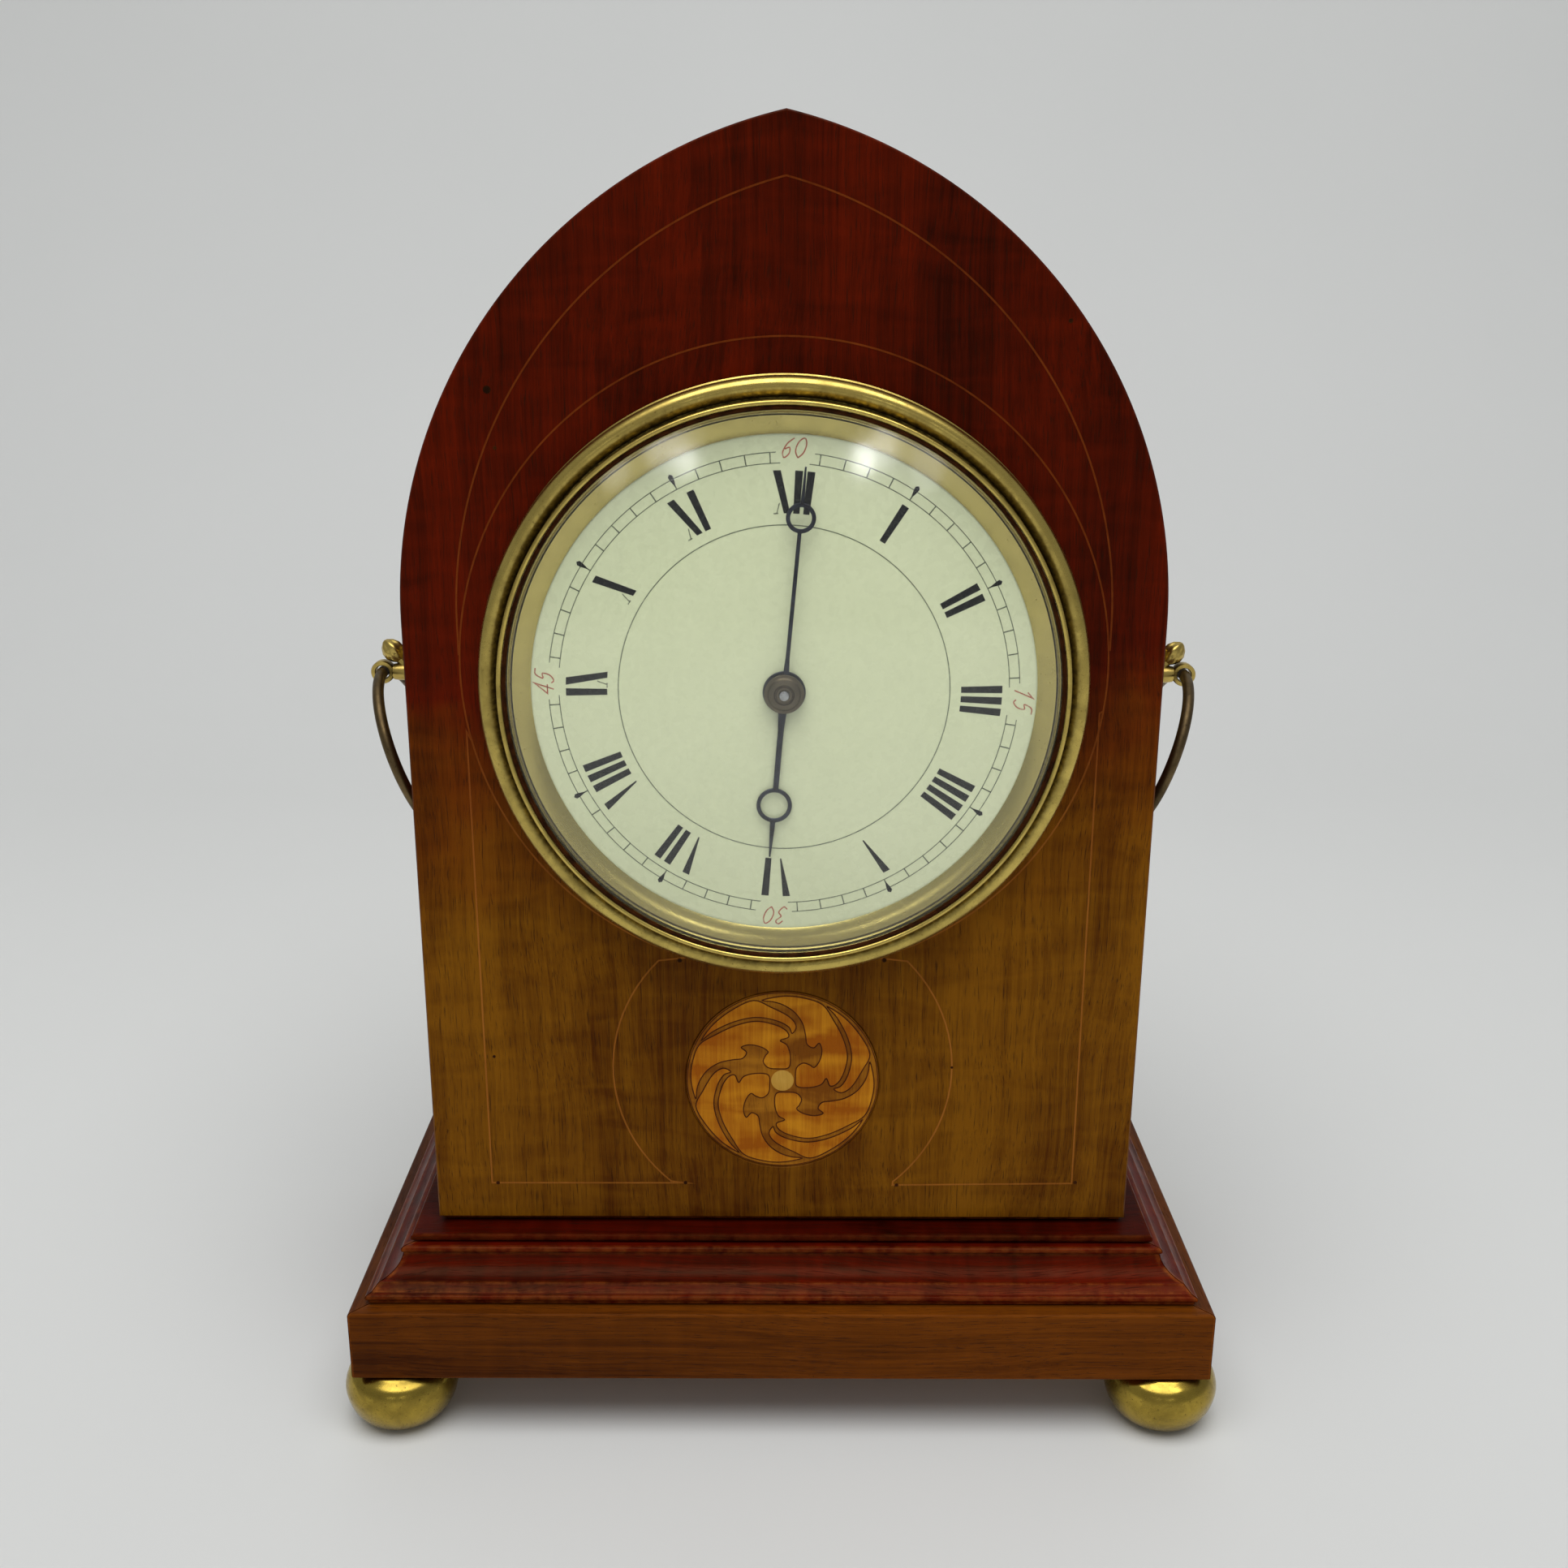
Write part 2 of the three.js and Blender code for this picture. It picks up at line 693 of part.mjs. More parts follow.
function hairspring() {
  const turns = 3;
  const steps = 24;
  const inner = 1.5;
  const outer = 4.9;
  const half = 0.14;
  const spiral = (offset, from, to) => {
    const points = [];
    for (let i = 0; i <= steps; i += 1) {
      const t = from + ((to - from) * i) / steps;
      points.push(polar(inner + (outer - inner) * t + offset, 180 + 360 * turns * (t - 1), BALANCE_AT));
    }
    return points;
  };
  const outline = [...spiral(half, 0, 1), ...spiral(-half, 1, 0)];
  return slabY(outline, rearOutside + 4.9, rearOutside + 5.4);
}

// The cock carries the balance's rear pivot and the hairspring's stud.
function balanceCock() {
  const top = rearOutside + 6.6;
  const thickness = 1.5;
  const footAt = point(BALANCE_AT.x - 12.7, BALANCE_AT.y);
  const bar = [
    ...arc(BALANCE_AT, 2.6, -90, 90, 8),
    point(footAt.x, footAt.y + 3.6),
    ...arc(footAt, 3.6, 100, 260, 6),
    point(footAt.x, footAt.y - 3.6),
  ];
  const pivot = rodY(BALANCE_AT, ESCAPEMENT.staff + RUN, top - 1, top + 4, 10);
  const stud = rodY(point(BALANCE_AT.x - 6.2, BALANCE_AT.y), 0.7, rearOutside + 4.4, top + 0.5, 8);
  const foot = box(footAt.x - 3, footAt.x + 2.6, rearOutside + GAP, top + 0.5, footAt.y - 3, footAt.y + 3);
  return union(cut(slabY(bar, top, top + thickness), pivot), stud, foot);
}

function ratchetWheel() {
  const { teeth, tip, depth, face } = RATCHET;
  const outline = [];
  for (let i = 0; i < teeth; i += 1) {
    const start = (i * 360) / teeth;
    outline.push(polar(tip - depth, start, BARREL_AT), polar(tip, start + (0.9 * 360) / teeth, BARREL_AT));
  }
  const half = SQUARE.side / 2 + GAP;
  const hole = [
    point(BARREL_AT.x - half, BARREL_AT.y - half),
    point(BARREL_AT.x - half, BARREL_AT.y + half),
    point(BARREL_AT.x + half, BARREL_AT.y + half),
    point(BARREL_AT.x + half, BARREL_AT.y - half),
  ];
  const y0 = rearOutside + 2 * GAP;
  return slabY(outline, y0, y0 + face, [hole]);
}

const CLICK_TIP = polar(RATCHET.tip + RATCHET.clear, CLICK.touch, BARREL_AT);
const CLICK_AT = polar(CLICK.length, CLICK.lean, CLICK_TIP);

function click() {
  const y0 = rearOutside + 2 * GAP;
  const line = bearing(CLICK_AT, CLICK_TIP);
  const beak = [
    polar(CLICK.hub * 0.95, line + 90, CLICK_AT),
    polar(CLICK.hub * 0.95, line - 90, CLICK_AT),
    polar(CLICK.tip, line - 20, CLICK_TIP),
    CLICK_TIP.clone(),
  ];
  return cut(
    union(rodY(CLICK_AT, CLICK.hub, y0, y0 + RATCHET.face, 14), slabY(beak, y0, y0 + RATCHET.face)),
    rodY(CLICK_AT, 0.7 + RUN, y0 - 1, y0 + 4, 10),
  );
}

// A bent strip, screwed down at its root, that presses on the click's back.
function clickSpring() {
  const y0 = rearOutside + 2 * GAP;
  const line = bearing(CLICK_AT, CLICK_TIP);
  const back = (along, away) => polar(away, line - 90, polar(along, line, CLICK_AT));
  const sheet = 0.5;
  const touch = CLICK.hub + GAP;
  const outline = [
    back(4.2, 1.2 + GAP),
    back(1, touch + 0.1),
    back(-4, 4.4),
    back(-6.5, 3.4),
    back(-6.5, 5.4),
    back(-3.6, 5.2),
    back(1, touch + 0.1 + sheet * 1.3),
    back(4.2, 1.2 + GAP + sheet),
  ];
  return slabY(outline, y0, y0 + RATCHET.face * 0.8);
}

// ---------------------------------------------------------------- movement plates and motion work

function pillarPlaces() {
  return PLATES.pillarAngles.map((angle) => polar(PLATES.pillarCircle, angle, CENTRE));
}

// Pivot holes shared by both plates.
function pivotHoles() {
  const hole = (centre, radius) => circle(centre, radius + RUN, ARBOR.sides);
  return [
    hole(INTERMEDIATE_AT, ARBOR.pivot),
    hole(THIRD_AT, ARBOR.pivot),
    hole(FOURTH_AT, ARBOR.pivot),
    hole(ESCAPE_AT, ARBOR.pivot),
    hole(LEVER_AT, 0.5),
  ];
}

// The four pillars are riveted into the front plate.
function frontPlate() {
  const holes = [
    ...pivotHoles(),
    circle(CENTRE, ARBOR.radius + RUN, SMALL_ROUND),
    circle(BARREL_AT, BARREL.arbor - 0.7 + RUN, SMALL_ROUND),
    circle(BALANCE_AT, ESCAPEMENT.staff + RUN, 8),
  ];
  const plate = slabY(circle(CENTRE, PLATES.radius, LARGE_ROUND), PLATES.front, plateBack, holes);
  const post = slabY(circle(MINUTE_AT, 1, 10), PLATES.front - 6.2, PLATES.front + 0.5);
  const pillars = pillarPlaces().map((at) => {
    const r = PLATES.pillarRadius;
    const end = rearPlate - GAP;
    const profile = [
      point(0, plateBack - 0.5),
      point(r + 0.6, plateBack - 0.5),
      point(r - 0.4, plateBack + 2.5),
      point(r - 0.4, end - 2.5),
      point(r + 0.6, end),
      point(1.3, end),
      point(1.3, rearOutside + 1.6),
      point(0, rearOutside + 1.6),
    ];
    return turnedY(profile, at, 8);
  });
  return union(plate, post, ...pillars);
}

function backPlate() {
  const holes = [
    ...pivotHoles(),
    circle(CENTRE, ARBOR.radius + RUN, SMALL_ROUND),
    circle(BARREL_AT, BARREL.arbor + RUN, SMALL_ROUND),
    circle(BALANCE_AT, ESCAPEMENT.rollerRadius + RUN, 12),
    ...pillarPlaces().map((at) => circle(at, 1.3 + GAP, 8)),
  ];
  const plate = slabY(circle(CENTRE, PLATES.radius, LARGE_ROUND), rearPlate, rearOutside, holes);
  const clickPost = rodY(CLICK_AT, 0.7, rearOutside - 0.5, rearOutside + 2 * GAP + RATCHET.face + 0.4, 8);
  return union(plate, clickPost);
}

const MOTION_PLANE = { cannon: PLATES.front - 3.2, hour: PLATES.front - 5.6 };

function cannonPinion() {
  const y0 = MOTION_PLANE.cannon;
  const pipe = slabY(circle(CENTRE, 2, 12), HANDS.minuteFront - 0.2, y0 + 0.3);
  const leaves = pinion(CENTRE, MOTION.cannonTeeth, MINUTE_MODULE, y0, y0 + MOTION.face + 0.4, PHASE.cannon);
  return cut(union(pipe, leaves), rodY(CENTRE, ARBOR.radius + GAP, HANDS.minuteFront - 2, PLATES.front, 12));
}

function minuteWheel() {
  const size = { teeth: MOTION.minuteTeeth, module: MINUTE_MODULE, face: MOTION.face };
  const y0 = MOTION_PLANE.cannon + 0.2;
  const leafFront = MOTION_PLANE.hour - 0.2;
  const body = union(
    wheel(MINUTE_AT, size, y0, PHASE.minuteWheel, false),
    pinion(MINUTE_AT, MOTION.minutePinion, HOUR_MODULE, leafFront, y0 + 0.3, PHASE.minutePinion),
  );
  return cut(body, rodY(MINUTE_AT, 1 + RUN - 0.05, MOTION_PLANE.hour - 2, PLATES.front, 10));
}

function hourWheel() {
  const size = { teeth: MOTION.hourTeeth, module: HOUR_MODULE, face: MOTION.face - 0.2 };
  const y0 = MOTION_PLANE.hour + 0.2;
  const pipe = slabY(circle(CENTRE, 3, 12), HANDS.hourFront - 0.2, y0 + 0.3);
  const body = union(pipe, wheel(CENTRE, size, y0, PHASE.hourWheel, false));
  return cut(body, rodY(CENTRE, 2 + GAP, HANDS.hourFront - 2, PLATES.front, 12));
}

// ---------------------------------------------------------------- dial, glass and hands

function bezel() {
  const b = BEZEL;
  const rollMiddle = point(rollOuter - b.rollWidth / 2, b.rollFront + b.rollWidth / 2);
  const glassSeat = GLASS.edge - GLASS.thickness - GAP;
  const profile = [
    point(bezelBore, b.skirtDepth),
    point(bezelBore + b.skirtWall, b.skirtDepth),
    point(bezelBore + b.skirtWall, -GAP),
    point(bezelOuter, -GAP),
    point(bezelOuter, -b.lip),
    ...arc(rollMiddle, b.rollWidth / 2, 0, -180, 4),
    point(rollInner, b.grooveFront),
    point(beadOuter, b.grooveFront),
    point(beadOuter, b.beadFront + 0.7),
    point((beadOuter + beadInner) / 2, b.beadFront),
    point(beadInner, b.beadFront + 0.5),
    point(beadInner, glassSeat),
    point(bezelBore, glassSeat),
  ];
  return turnedY(closed(profile), CENTRE, LARGE_ROUND);
}

// The polished ring that slopes from the glass down to the enamel.
function sightRing() {
  const outer = bezelBore - GAP;
  const front = GLASS.edge + GAP;
  const back = DIAL.face - GAP;
  const profile = [
    point(outer, back),
    point(outer, front),
    point(outer - 1.2, front),
    point(sightInner + 1.6, back - 1.1),
    point(sightInner, back),
  ];
  return turnedY(closed(profile), CENTRE, LARGE_ROUND);
}

function crystal() {
  const edge = bezelBore - 2 * GAP;
  const steps = 3;
  const dome = (y, rise, from, to) => {
    const points = [];
    for (let i = 0; i <= steps; i += 1) {
      const r = from + ((to - from) * i) / steps;
      points.push(point(r, y - rise * (1 - (r / edge) ** 2)));
    }
    return points;
  };
  const profile = [
    ...dome(GLASS.edge - GLASS.thickness, GLASS.rise, 0, edge),
    ...dome(GLASS.edge, GLASS.rise, edge, 0),
  ];
  return turnedY(profile, CENTRE, LARGE_ROUND);
}

function enamelDial() {
  const { face, enamel, radius } = DIAL;
  const profile = [
    point(4, face + enamel),
    point(4, face),
    point(radius - 0.6, face),
    point(radius, face + enamel),
  ];
  return turnedY(closed(profile), CENTRE, LARGE_ROUND);
}

// A brass plate behind the enamel, with feet that the movement's front plate is pinned to.
function dialPlate() {
  const y0 = DIAL.face + DIAL.enamel + GAP;
  const y1 = y0 + DIAL.plateThickness;
  const plate = slabY(circle(CENTRE, dialPlateRadius, LARGE_ROUND), y0, y1, [
    circle(CENTRE, 5, SMALL_ROUND),
  ]);
  const feet = [];
  for (let i = 0; i < DIAL.footCount; i += 1) {
    const at = polar(DIAL.footCircle, 90 + (i * 360) / DIAL.footCount, CENTRE);
    feet.push(rodY(at, DIAL.footRadius, y1 - 0.5, PLATES.front - GAP, 8));
  }
  return union(plate, ...feet);
}

// A ring ("moon") hand, drawn upright and turned about the dial's middle.
function moonHand({ front, reach, ring, ringRadius, hub, bore, rootWidth, waist, angle }) {
  const y1 = front + HANDS.thickness;
  const at = (along, across) => point(CENTRE.x + across, CENTRE.y + along);
  const shaftEnd = ring - ringRadius + HANDS.ringWall / 2;
  const shaft = [
    at(hub * 0.6, -rootWidth / 2),
    at(hub * 0.6, rootWidth / 2),
    at(shaftEnd, waist / 2),
    at(shaftEnd, -waist / 2),
  ];
  const tipStart = ring + ringRadius - HANDS.ringWall / 2;
  const shoulder = tipStart + (reach - tipStart) * 0.3;
  const tip = [
    at(tipStart, -waist * 0.55),
    at(tipStart, waist * 0.55),
    at(shoulder, waist * 0.75),
    at(reach, 0.15),
    at(reach, -0.15),
    at(shoulder, -waist * 0.75),
  ];
  const moon = at(ring, 0);
  const body = union(
    rodY(CENTRE, hub, front, y1, 16),
    slabY(shaft, front, y1),
    slabY(circle(moon, ringRadius, 16), front, y1, [circle(moon, ringRadius - HANDS.ringWall, 12)]),
    slabY(tip, front, y1),
  );
  const bored = cut(body, rodY(CENTRE, bore, front - 1, y1 + 1, 12));
  const geometry = toGeometry(bored);
  geometry.translate(-CENTRE.x, 0, -CENTRE.y);
  geometry.rotateY(angle * DEG);
  geometry.translate(CENTRE.x, 0, CENTRE.y);
  return solid(geometry);
}

function minuteHand() {
  return moonHand({
    front: HANDS.minuteFront, reach: HANDS.minuteReach, ring: HANDS.minuteRing,
    ringRadius: HANDS.minuteRingRadius, hub: 4, bore: 2 + GAP, rootWidth: 2.4, waist: 1.3,
    angle: DIAL.turned + HANDS.minuteAngle,
  });
}

function hourHand() {
  return moonHand({
    front: HANDS.hourFront, reach: HANDS.hourReach, ring: HANDS.hourRing,
    ringRadius: HANDS.hourRingRadius, hub: 5, bore: 3 + GAP, rootWidth: 2.8, waist: 1.6,
    angle: DIAL.turned + HANDS.hourAngle,
  });
}

function handCollet() {
  const back = HANDS.minuteFront - GAP;
  const profile = [
    point(ARBOR.radius + GAP, back),
    point(4.4, back),
    point(3.8, back - 1),
    point(ARBOR.radius + GAP, back - 1.3),
  ];
  return turnedY(closed(profile), CENTRE, 16);
}

// ---------------------------------------------------------------- case

// The pointed outline, set in from the case's own by an even margin.
function lancet(inset, bottom) {
  const half = halfWidth - inset;
  const radius = half + CASE.arcOffset;
  const apexAngle = Math.acos(CASE.arcOffset / radius) / DEG;
  const right = point(-CASE.arcOffset, CASE.springing);
  const left = point(CASE.arcOffset, CASE.springing);
  return [
    point(-half, bottom),
    point(half, bottom),
    ...arc(right, radius, 0, apexAngle, 14),
    ...arc(left, radius, 180 - apexAngle, 180, 14).slice(1),
  ];
}

// Each side is one bent and veneered board, and the two meet at the point of the arch.
function caseSide(side) {
  const outer = lancet(0, caseBottom + GAP);
  const inner = lancet(CASE.wall, caseBottom - 5);
  const y0 = CASE.frontThickness + GAP;
  const shell = cut(slabY(outer, y0, caseBack), slabY(inner, y0 - 1, caseBack + 1));
  const far = side * halfWidth * 2;
  const near = side * JOINT;
  const half = box(Math.min(near, far), Math.max(near, far), -1, caseBack + 1, 0, CASE.depth * 4);
  return shell.intersect(half);
}

function frontPanel() {
  const hole = circle(CENTRE, holeRadius, LARGE_ROUND);
  const panel = slabY(lancet(0, caseBottom + GAP), 0, CASE.frontThickness, [hole]);
  const recess = rodY(
    point(0, pateraHeight), PATERA.radius + GAP / 2, -1, PATERA.thickness + GAP, LARGE_ROUND,
  );
  return cut(panel, recess);
}

function patera() {
  return rodY(point(0, pateraHeight), PATERA.radius, 0, PATERA.thickness, LARGE_ROUND);
}

function caseFloor() {
  const half = halfWidth - CASE.wall - GAP;
  return box(
    -half, half,
    CASE.frontThickness + GAP, caseBack,
    caseBottom + GAP, caseBottom + GAP + CASE.floorThickness,
  );
}

function backPanel() {
  const bottom = caseBottom + CASE.floorThickness + 2 * GAP;
  const opening = circle(CENTRE, backOpening, LARGE_ROUND);
  return slabY(lancet(CASE.wall + GAP, bottom), caseBack - CASE.backThickness, caseBack, [opening]);
}

// ---------------------------------------------------------------- base

// Points are (how far out from the case, height above the plinth's top).
function mouldingProfile() {
  const m = MOULDING;
  const top = BASE.mouldingHeight;
  const foot = GAP;
  const lowBead = point(m.foot - m.step, foot + m.fillet + m.lowBead + m.step);
  const neck = point(lowBead.x - m.lowBead, lowBead.y + m.lowBead + 4 * m.step);
  const hollowAt = point(neck.x - m.lowBead, top - m.lowBead + m.step);
  const highBead = point(m.highBeadOut, top - m.highBead - m.step / 2);
  return [
    point(-BASE.mouldingBack, foot),
    point(m.foot, foot),
    point(m.foot, foot + m.fillet),
    ...arc(lowBead, m.lowBead, -60, 80, 4),
    neck,
    ...arc(hollowAt, m.hollow, 262, 180, 7),
    ...arc(highBead, m.highBead, -60, 90, 4),
    point(-BASE.mouldingBack, top - m.step / 2),
  ];
}

function plinthProfile() {
  const out = BASE.plinthOverhang;
  const inner = out - BASE.plinthBoard;
  const r = BASE.arris;
  return [
    point(inner, 0),
    point(out - r, 0),
    point(out, r),
    ...arc(point(out - r, BASE.plinthHeight - r), r, 0, 90, 3),
    point(inner, BASE.plinthHeight),
  ];
}

// A mitre at each front corner: the plan of what the front piece keeps.
function frontMitre(inner, outer) {
  const line = (out) => [halfWidth + out - JOINT * Math.SQRT2, -out];
  const [xOut, yOut] = line(outer);
  const [xIn, yIn] = line(-inner);
  return [point(-xOut, yOut), point(xOut, yOut), point(xIn, yIn), point(-xIn, yIn)];
}

function sideMitre(side, inner, outer) {
  const near = JOINT * Math.SQRT2;
  const plan = [
    point(side * (halfWidth + outer), -outer + near),
    point(side * (halfWidth + outer), caseBack),
    point(side * (halfWidth - inner), caseBack),
    point(side * (halfWidth - inner), inner + near),
  ];
  return side > 0 ? plan : plan.reverse();
}

// A section run along the front of the case, mitred at both ends.
function frontRun(profile, z, inner, outer) {
  const section = profile.map((p) => point(-p.x, z + p.y));
  const length = halfWidth + outer;
  const stock = slabX(section.reverse(), -length, length);
  return stock.intersect(slabZ(frontMitre(inner, outer), z - 1, z + 60));
}

// The same section run along one side, mitred in front and square behind.
function sideRun(profile, z, inner, outer, side) {
  const section = profile.map((p) => point(side * (halfWidth + p.x), z + p.y));
  const outline = side > 0 ? section : section.reverse();
  const stock = slabY(outline, -outer, caseBack);
  return stock.intersect(slabZ(sideMitre(side, inner, outer), z - 1, z + 60));
}

function ledgeBoard() {
  const half = halfWidth + BASE.ledgeOverhang;
  const r = BASE.arris;
  const plan = [
    point(-half + r, -BASE.ledgeOverhang + r),
    point(half - r, -BASE.ledgeOverhang + r),
    point(half - r, caseBack - r),
    point(-half + r, caseBack - r),
  ];
  const geometry = new THREE.ExtrudeGeometry(shapeOf(plan), {
    depth: BASE.ledgeThickness - 2 * r, bevelThickness: r, bevelSize: r, bevelSegments: 3,
  });
  geometry.translate(0, 0, ledgeBottom + r);
  return solid(geometry);
}

function baseBoard() {
  const half = plinthHalf - BASE.plinthBoard - GAP;
  return box(
    -half, half,
    -BASE.plinthOverhang + BASE.plinthBoard + GAP, caseBack - BASE.plinthBoard - GAP,
    plinthBottom, plinthBottom + BASE.boardThickness,
  );
}

// The plain back of the base fills the ends of the side pieces.
function plinthBack() {
  const low = plinthHalf - BASE.plinthBoard - GAP;
  const high = halfWidth - BASE.mouldingBack - GAP;
  const outline = [
    point(-low, plinthBottom),
    point(low, plinthBottom),
    point(low, plinthTop),
    point(high, plinthTop),
    point(high, mouldingTop - MOULDING.step / 2),
    point(-high, mouldingTop - MOULDING.step / 2),
    point(-high, plinthTop),
    point(-low, plinthTop),
  ];
  return slabY(outline, caseBack - BASE.plinthBoard, caseBack);
}

// A turned bun foot, flat where it stands and where it meets the plinth.
function foot(x, y) {
  const top = BASE.footHeight - GAP;
  const profile = BUN.map(([out, up]) => point(out * BASE.footRadius, up * top));
  return turnedZ(profile, x, y, 14);
}

// ---------------------------------------------------------------- side handles

const leanAngle = Math.asin(
  (HANDLE.standOff - HANDLE.ringTube - 2 * GAP) / (2 * HANDLE.ringRadius),
);

// A cast mount: a round plate, an arm with the eye that the ring hangs in, and a leaf bud above it.
function handleMount(side) {
  const h = HANDLE;
  const end = halfWidth + h.standOff;
  const armEnd = h.standOff - h.eyeInner - 0.6;
  const arm = [
    point(0, 0),
    point(h.plateRadius, 0),
    point(h.plateRadius - 1.4, h.plateThickness),
    point(h.neck + 2, h.plateThickness + 0.8),
    point(h.neck, h.plateThickness + 3.4),
    point(h.neck * 0.75, armEnd),
    point(0, armEnd),
  ];
  const turned = new THREE.LatheGeometry(arm, SMALL_ROUND);
  turned.rotateZ(-Math.PI / 2);
  turned.translate(halfWidth + GAP, h.depth, h.pivotHeight);
  const bud = new THREE.SphereGeometry(h.budRadius, 7, 5);
  bud.translate(end - h.budInset, h.depth, h.pivotHeight + h.budRise);
  const eyeAt = point(end, h.pivotHeight);
  const halfEye = h.eyeThickness / 2;
  const eye = slabY(circle(eyeAt, h.eyeOuter, SMALL_ROUND), h.depth - halfEye, h.depth + halfEye);
  const hole = slabY(circle(eyeAt, h.eyeInner, 10), h.depth - 2 * halfEye, h.depth + 2 * halfEye);
  const body = cut(union(solid(turned), solid(bud), budStem(), eye), hole);
  return side > 0 ? body : mirrored(body);
}

function budStem() {
  const h = HANDLE;
  const foot = point(halfWidth + h.standOff - h.stemInset, h.pivotHeight);
  const top = point(halfWidth + h.standOff - h.budInset, h.pivotHeight + h.budRise);
  const length = foot.distanceTo(top);
  const stem = new THREE.CylinderGeometry(1.5, 2.3, length, 6);
  stem.rotateX(Math.PI / 2);
  stem.translate(0, 0, length / 2);
  stem.rotateY(Math.atan2(top.x - foot.x, top.y - foot.y));
  stem.translate(foot.x, h.depth, foot.y);
  return solid(stem);
}

function mirrored(body) {
  const geometry = toGeometry(body);
  geometry.scale(-1, 1, 1);
  return solid(geometry);
}

// The ring hangs from the eye and leans in on the case side.
function handleRing(side) {
  const h = HANDLE;
  const ring = new THREE.TorusGeometry(h.ringRadius, h.ringTube, 6, 24);
  ring.rotateY(Math.PI / 2);
  ring.translate(0, 0, -h.ringRadius);
  ring.rotateY(leanAngle);
  ring.translate(halfWidth + h.standOff, h.depth, h.pivotHeight);
  const body = solid(ring);
  return side > 0 ? body : mirrored(body);
}

// ---------------------------------------------------------------- straps, back ring and back door

function strap(side) {
  const s = STRAP;
  const front = DIAL.face + DIAL.enamel + DIAL.plateThickness + 2 * GAP;
  const back = caseBack - GAP;
  const r = strapRadius;
  const section = [
    point(front, r),
    point(front, r + s.foot),
    point(front + s.sheet, r + s.foot),
    point(front + s.sheet, r + s.sheet),
    point(back, r + s.sheet),
    point(back, r + s.sheet - s.pad),
    point(back - s.padDepth, r + s.sheet - s.pad),
    point(back - s.padDepth, r),
  ].map((p) => point(p.x, DIAL.height + side * p.y));
  const outline = side > 0 ? section.reverse() : section;
  const body = slabX(outline, -s.width / 2, s.width / 2);
  const at = point(0, DIAL.height + side * screwCircle);
  return cut(body, rodY(at, SCREW.shank + GAP, back - s.padDepth - 1, back + 1, 10));
}

function strapScrew(side) {
  const at = point(0, DIAL.height + side * screwCircle);
  const seat = caseBack + GAP + BACK_RING.sheet + GAP;
  return union(
    rodY(at, SCREW.shank, seat - SCREW.length, seat + 0.2, 10),
    rodY(at, SCREW.head, seat, seat + SCREW.headHeight, 14),
  );
}

const hingeDepth = caseBack + GAP + BACK_RING.sheet + GAP + DOOR.knuckle;

function knuckle(z0, z1) {
  return slabZ(circle(point(-hingePlace, hingeDepth), DOOR.knuckle, 10), z0, z1);
}

function backRing() {
  const front = caseBack + GAP;
  const profile = [
    point(backRingBore, front),
    point(backRingOuter, front),
    point(backRingOuter - 0.8, front + BACK_RING.sheet),
    point(backRingBore, front + BACK_RING.sheet),
  ];
  const ring = turnedY(closed(profile), CENTRE, LARGE_ROUND);
  const holes = [-1, 1].map((side) =>
    rodY(point(0, DIAL.height + side * screwCircle), SCREW.shank + GAP, front - 1, front + 5, 10),
  );
  const lugs = [-1, 1].map((side) => {
    const near = DIAL.height + side * (DOOR.knuckleLength / 2 + GAP);
    const far = near + side * DOOR.knuckleLength;
    const [z0, z1] = [Math.min(near, far), Math.max(near, far)];
    const foot = box(-hingePlace - DOOR.knuckle, -hingePlace, front + 0.5, hingeDepth, z0, z1);
    return union(knuckle(z0, z1), foot);
  });
  const pinHole = slabZ(
    circle(point(-hingePlace, hingeDepth), DOOR.pin + GAP / 2, 10),
    DIAL.height - 30,
    DIAL.height + 30,
  );
  return cut(union(ring, ...lugs), ...holes, pinHole);
}

// The door: a dished disc with a raised rim and one hinge knuckle.
function backDoor() {
  const front = caseBack + 2 * GAP + BACK_RING.sheet;
  const { rim, rimHeight, sheet } = DOOR;
  const radius = doorRadius;
  const profile = [
    point(0, front),
    point(radius, front),
    point(radius - 0.5, front + sheet + rimHeight),
    point(radius - rim, front + sheet + rimHeight),
    point(radius - rim - 1.2, front + sheet),
    point(0, front + sheet),
  ];
  const z0 = DIAL.height - DOOR.knuckleLength / 2;
  const z1 = DIAL.height + DOOR.knuckleLength / 2;
  const tongue = box(-hingePlace, -radius + 1.5, front + 0.6, front + sheet + rimHeight * 0.8, z0, z1);
  const pinHole = slabZ(circle(point(-hingePlace, hingeDepth), DOOR.pin + GAP / 2, 10), z0 - 1, z1 + 1);
  const knobHole = rodY(point(knobPlace, DIAL.height), 1.2 + GAP, front - 1, front + 4, 10);
  return cut(union(turnedY(profile, CENTRE, LARGE_ROUND), tongue, knuckle(z0, z1)), pinHole, knobHole);
}

function doorHingePin() {
  const reach = DOOR.knuckleLength * 1.5 + GAP + 0.8;
  const at = point(-hingePlace, hingeDepth);
  return union(
    slabZ(circle(at, DOOR.pin, 10), DIAL.height - reach, DIAL.height + reach),
    slabZ(circle(at, DOOR.pin + 0.6, 10), DIAL.height + reach - 0.4, DIAL.height + reach + 0.6),
  );
}

function doorKnob() {
  const seat = caseBack + 2 * GAP + BACK_RING.sheet + DOOR.sheet + GAP;
  const r = DOOR.knobRadius;
  const profile = [
    point(0, seat - DOOR.sheet - 0.2),
    point(1.2, seat - DOOR.sheet - 0.2),
    point(1.2, seat),
    point(r * 0.8, seat),
    point(r * 0.45, seat + 1.6),
    point(r, seat + 4.2),
    point(r * 0.7, seat + DOOR.knobLength - 0.4),
    point(0, seat + DOOR.knobLength),
  ];
  return turnedY(profile, point(knobPlace, DIAL.height), 12);
}

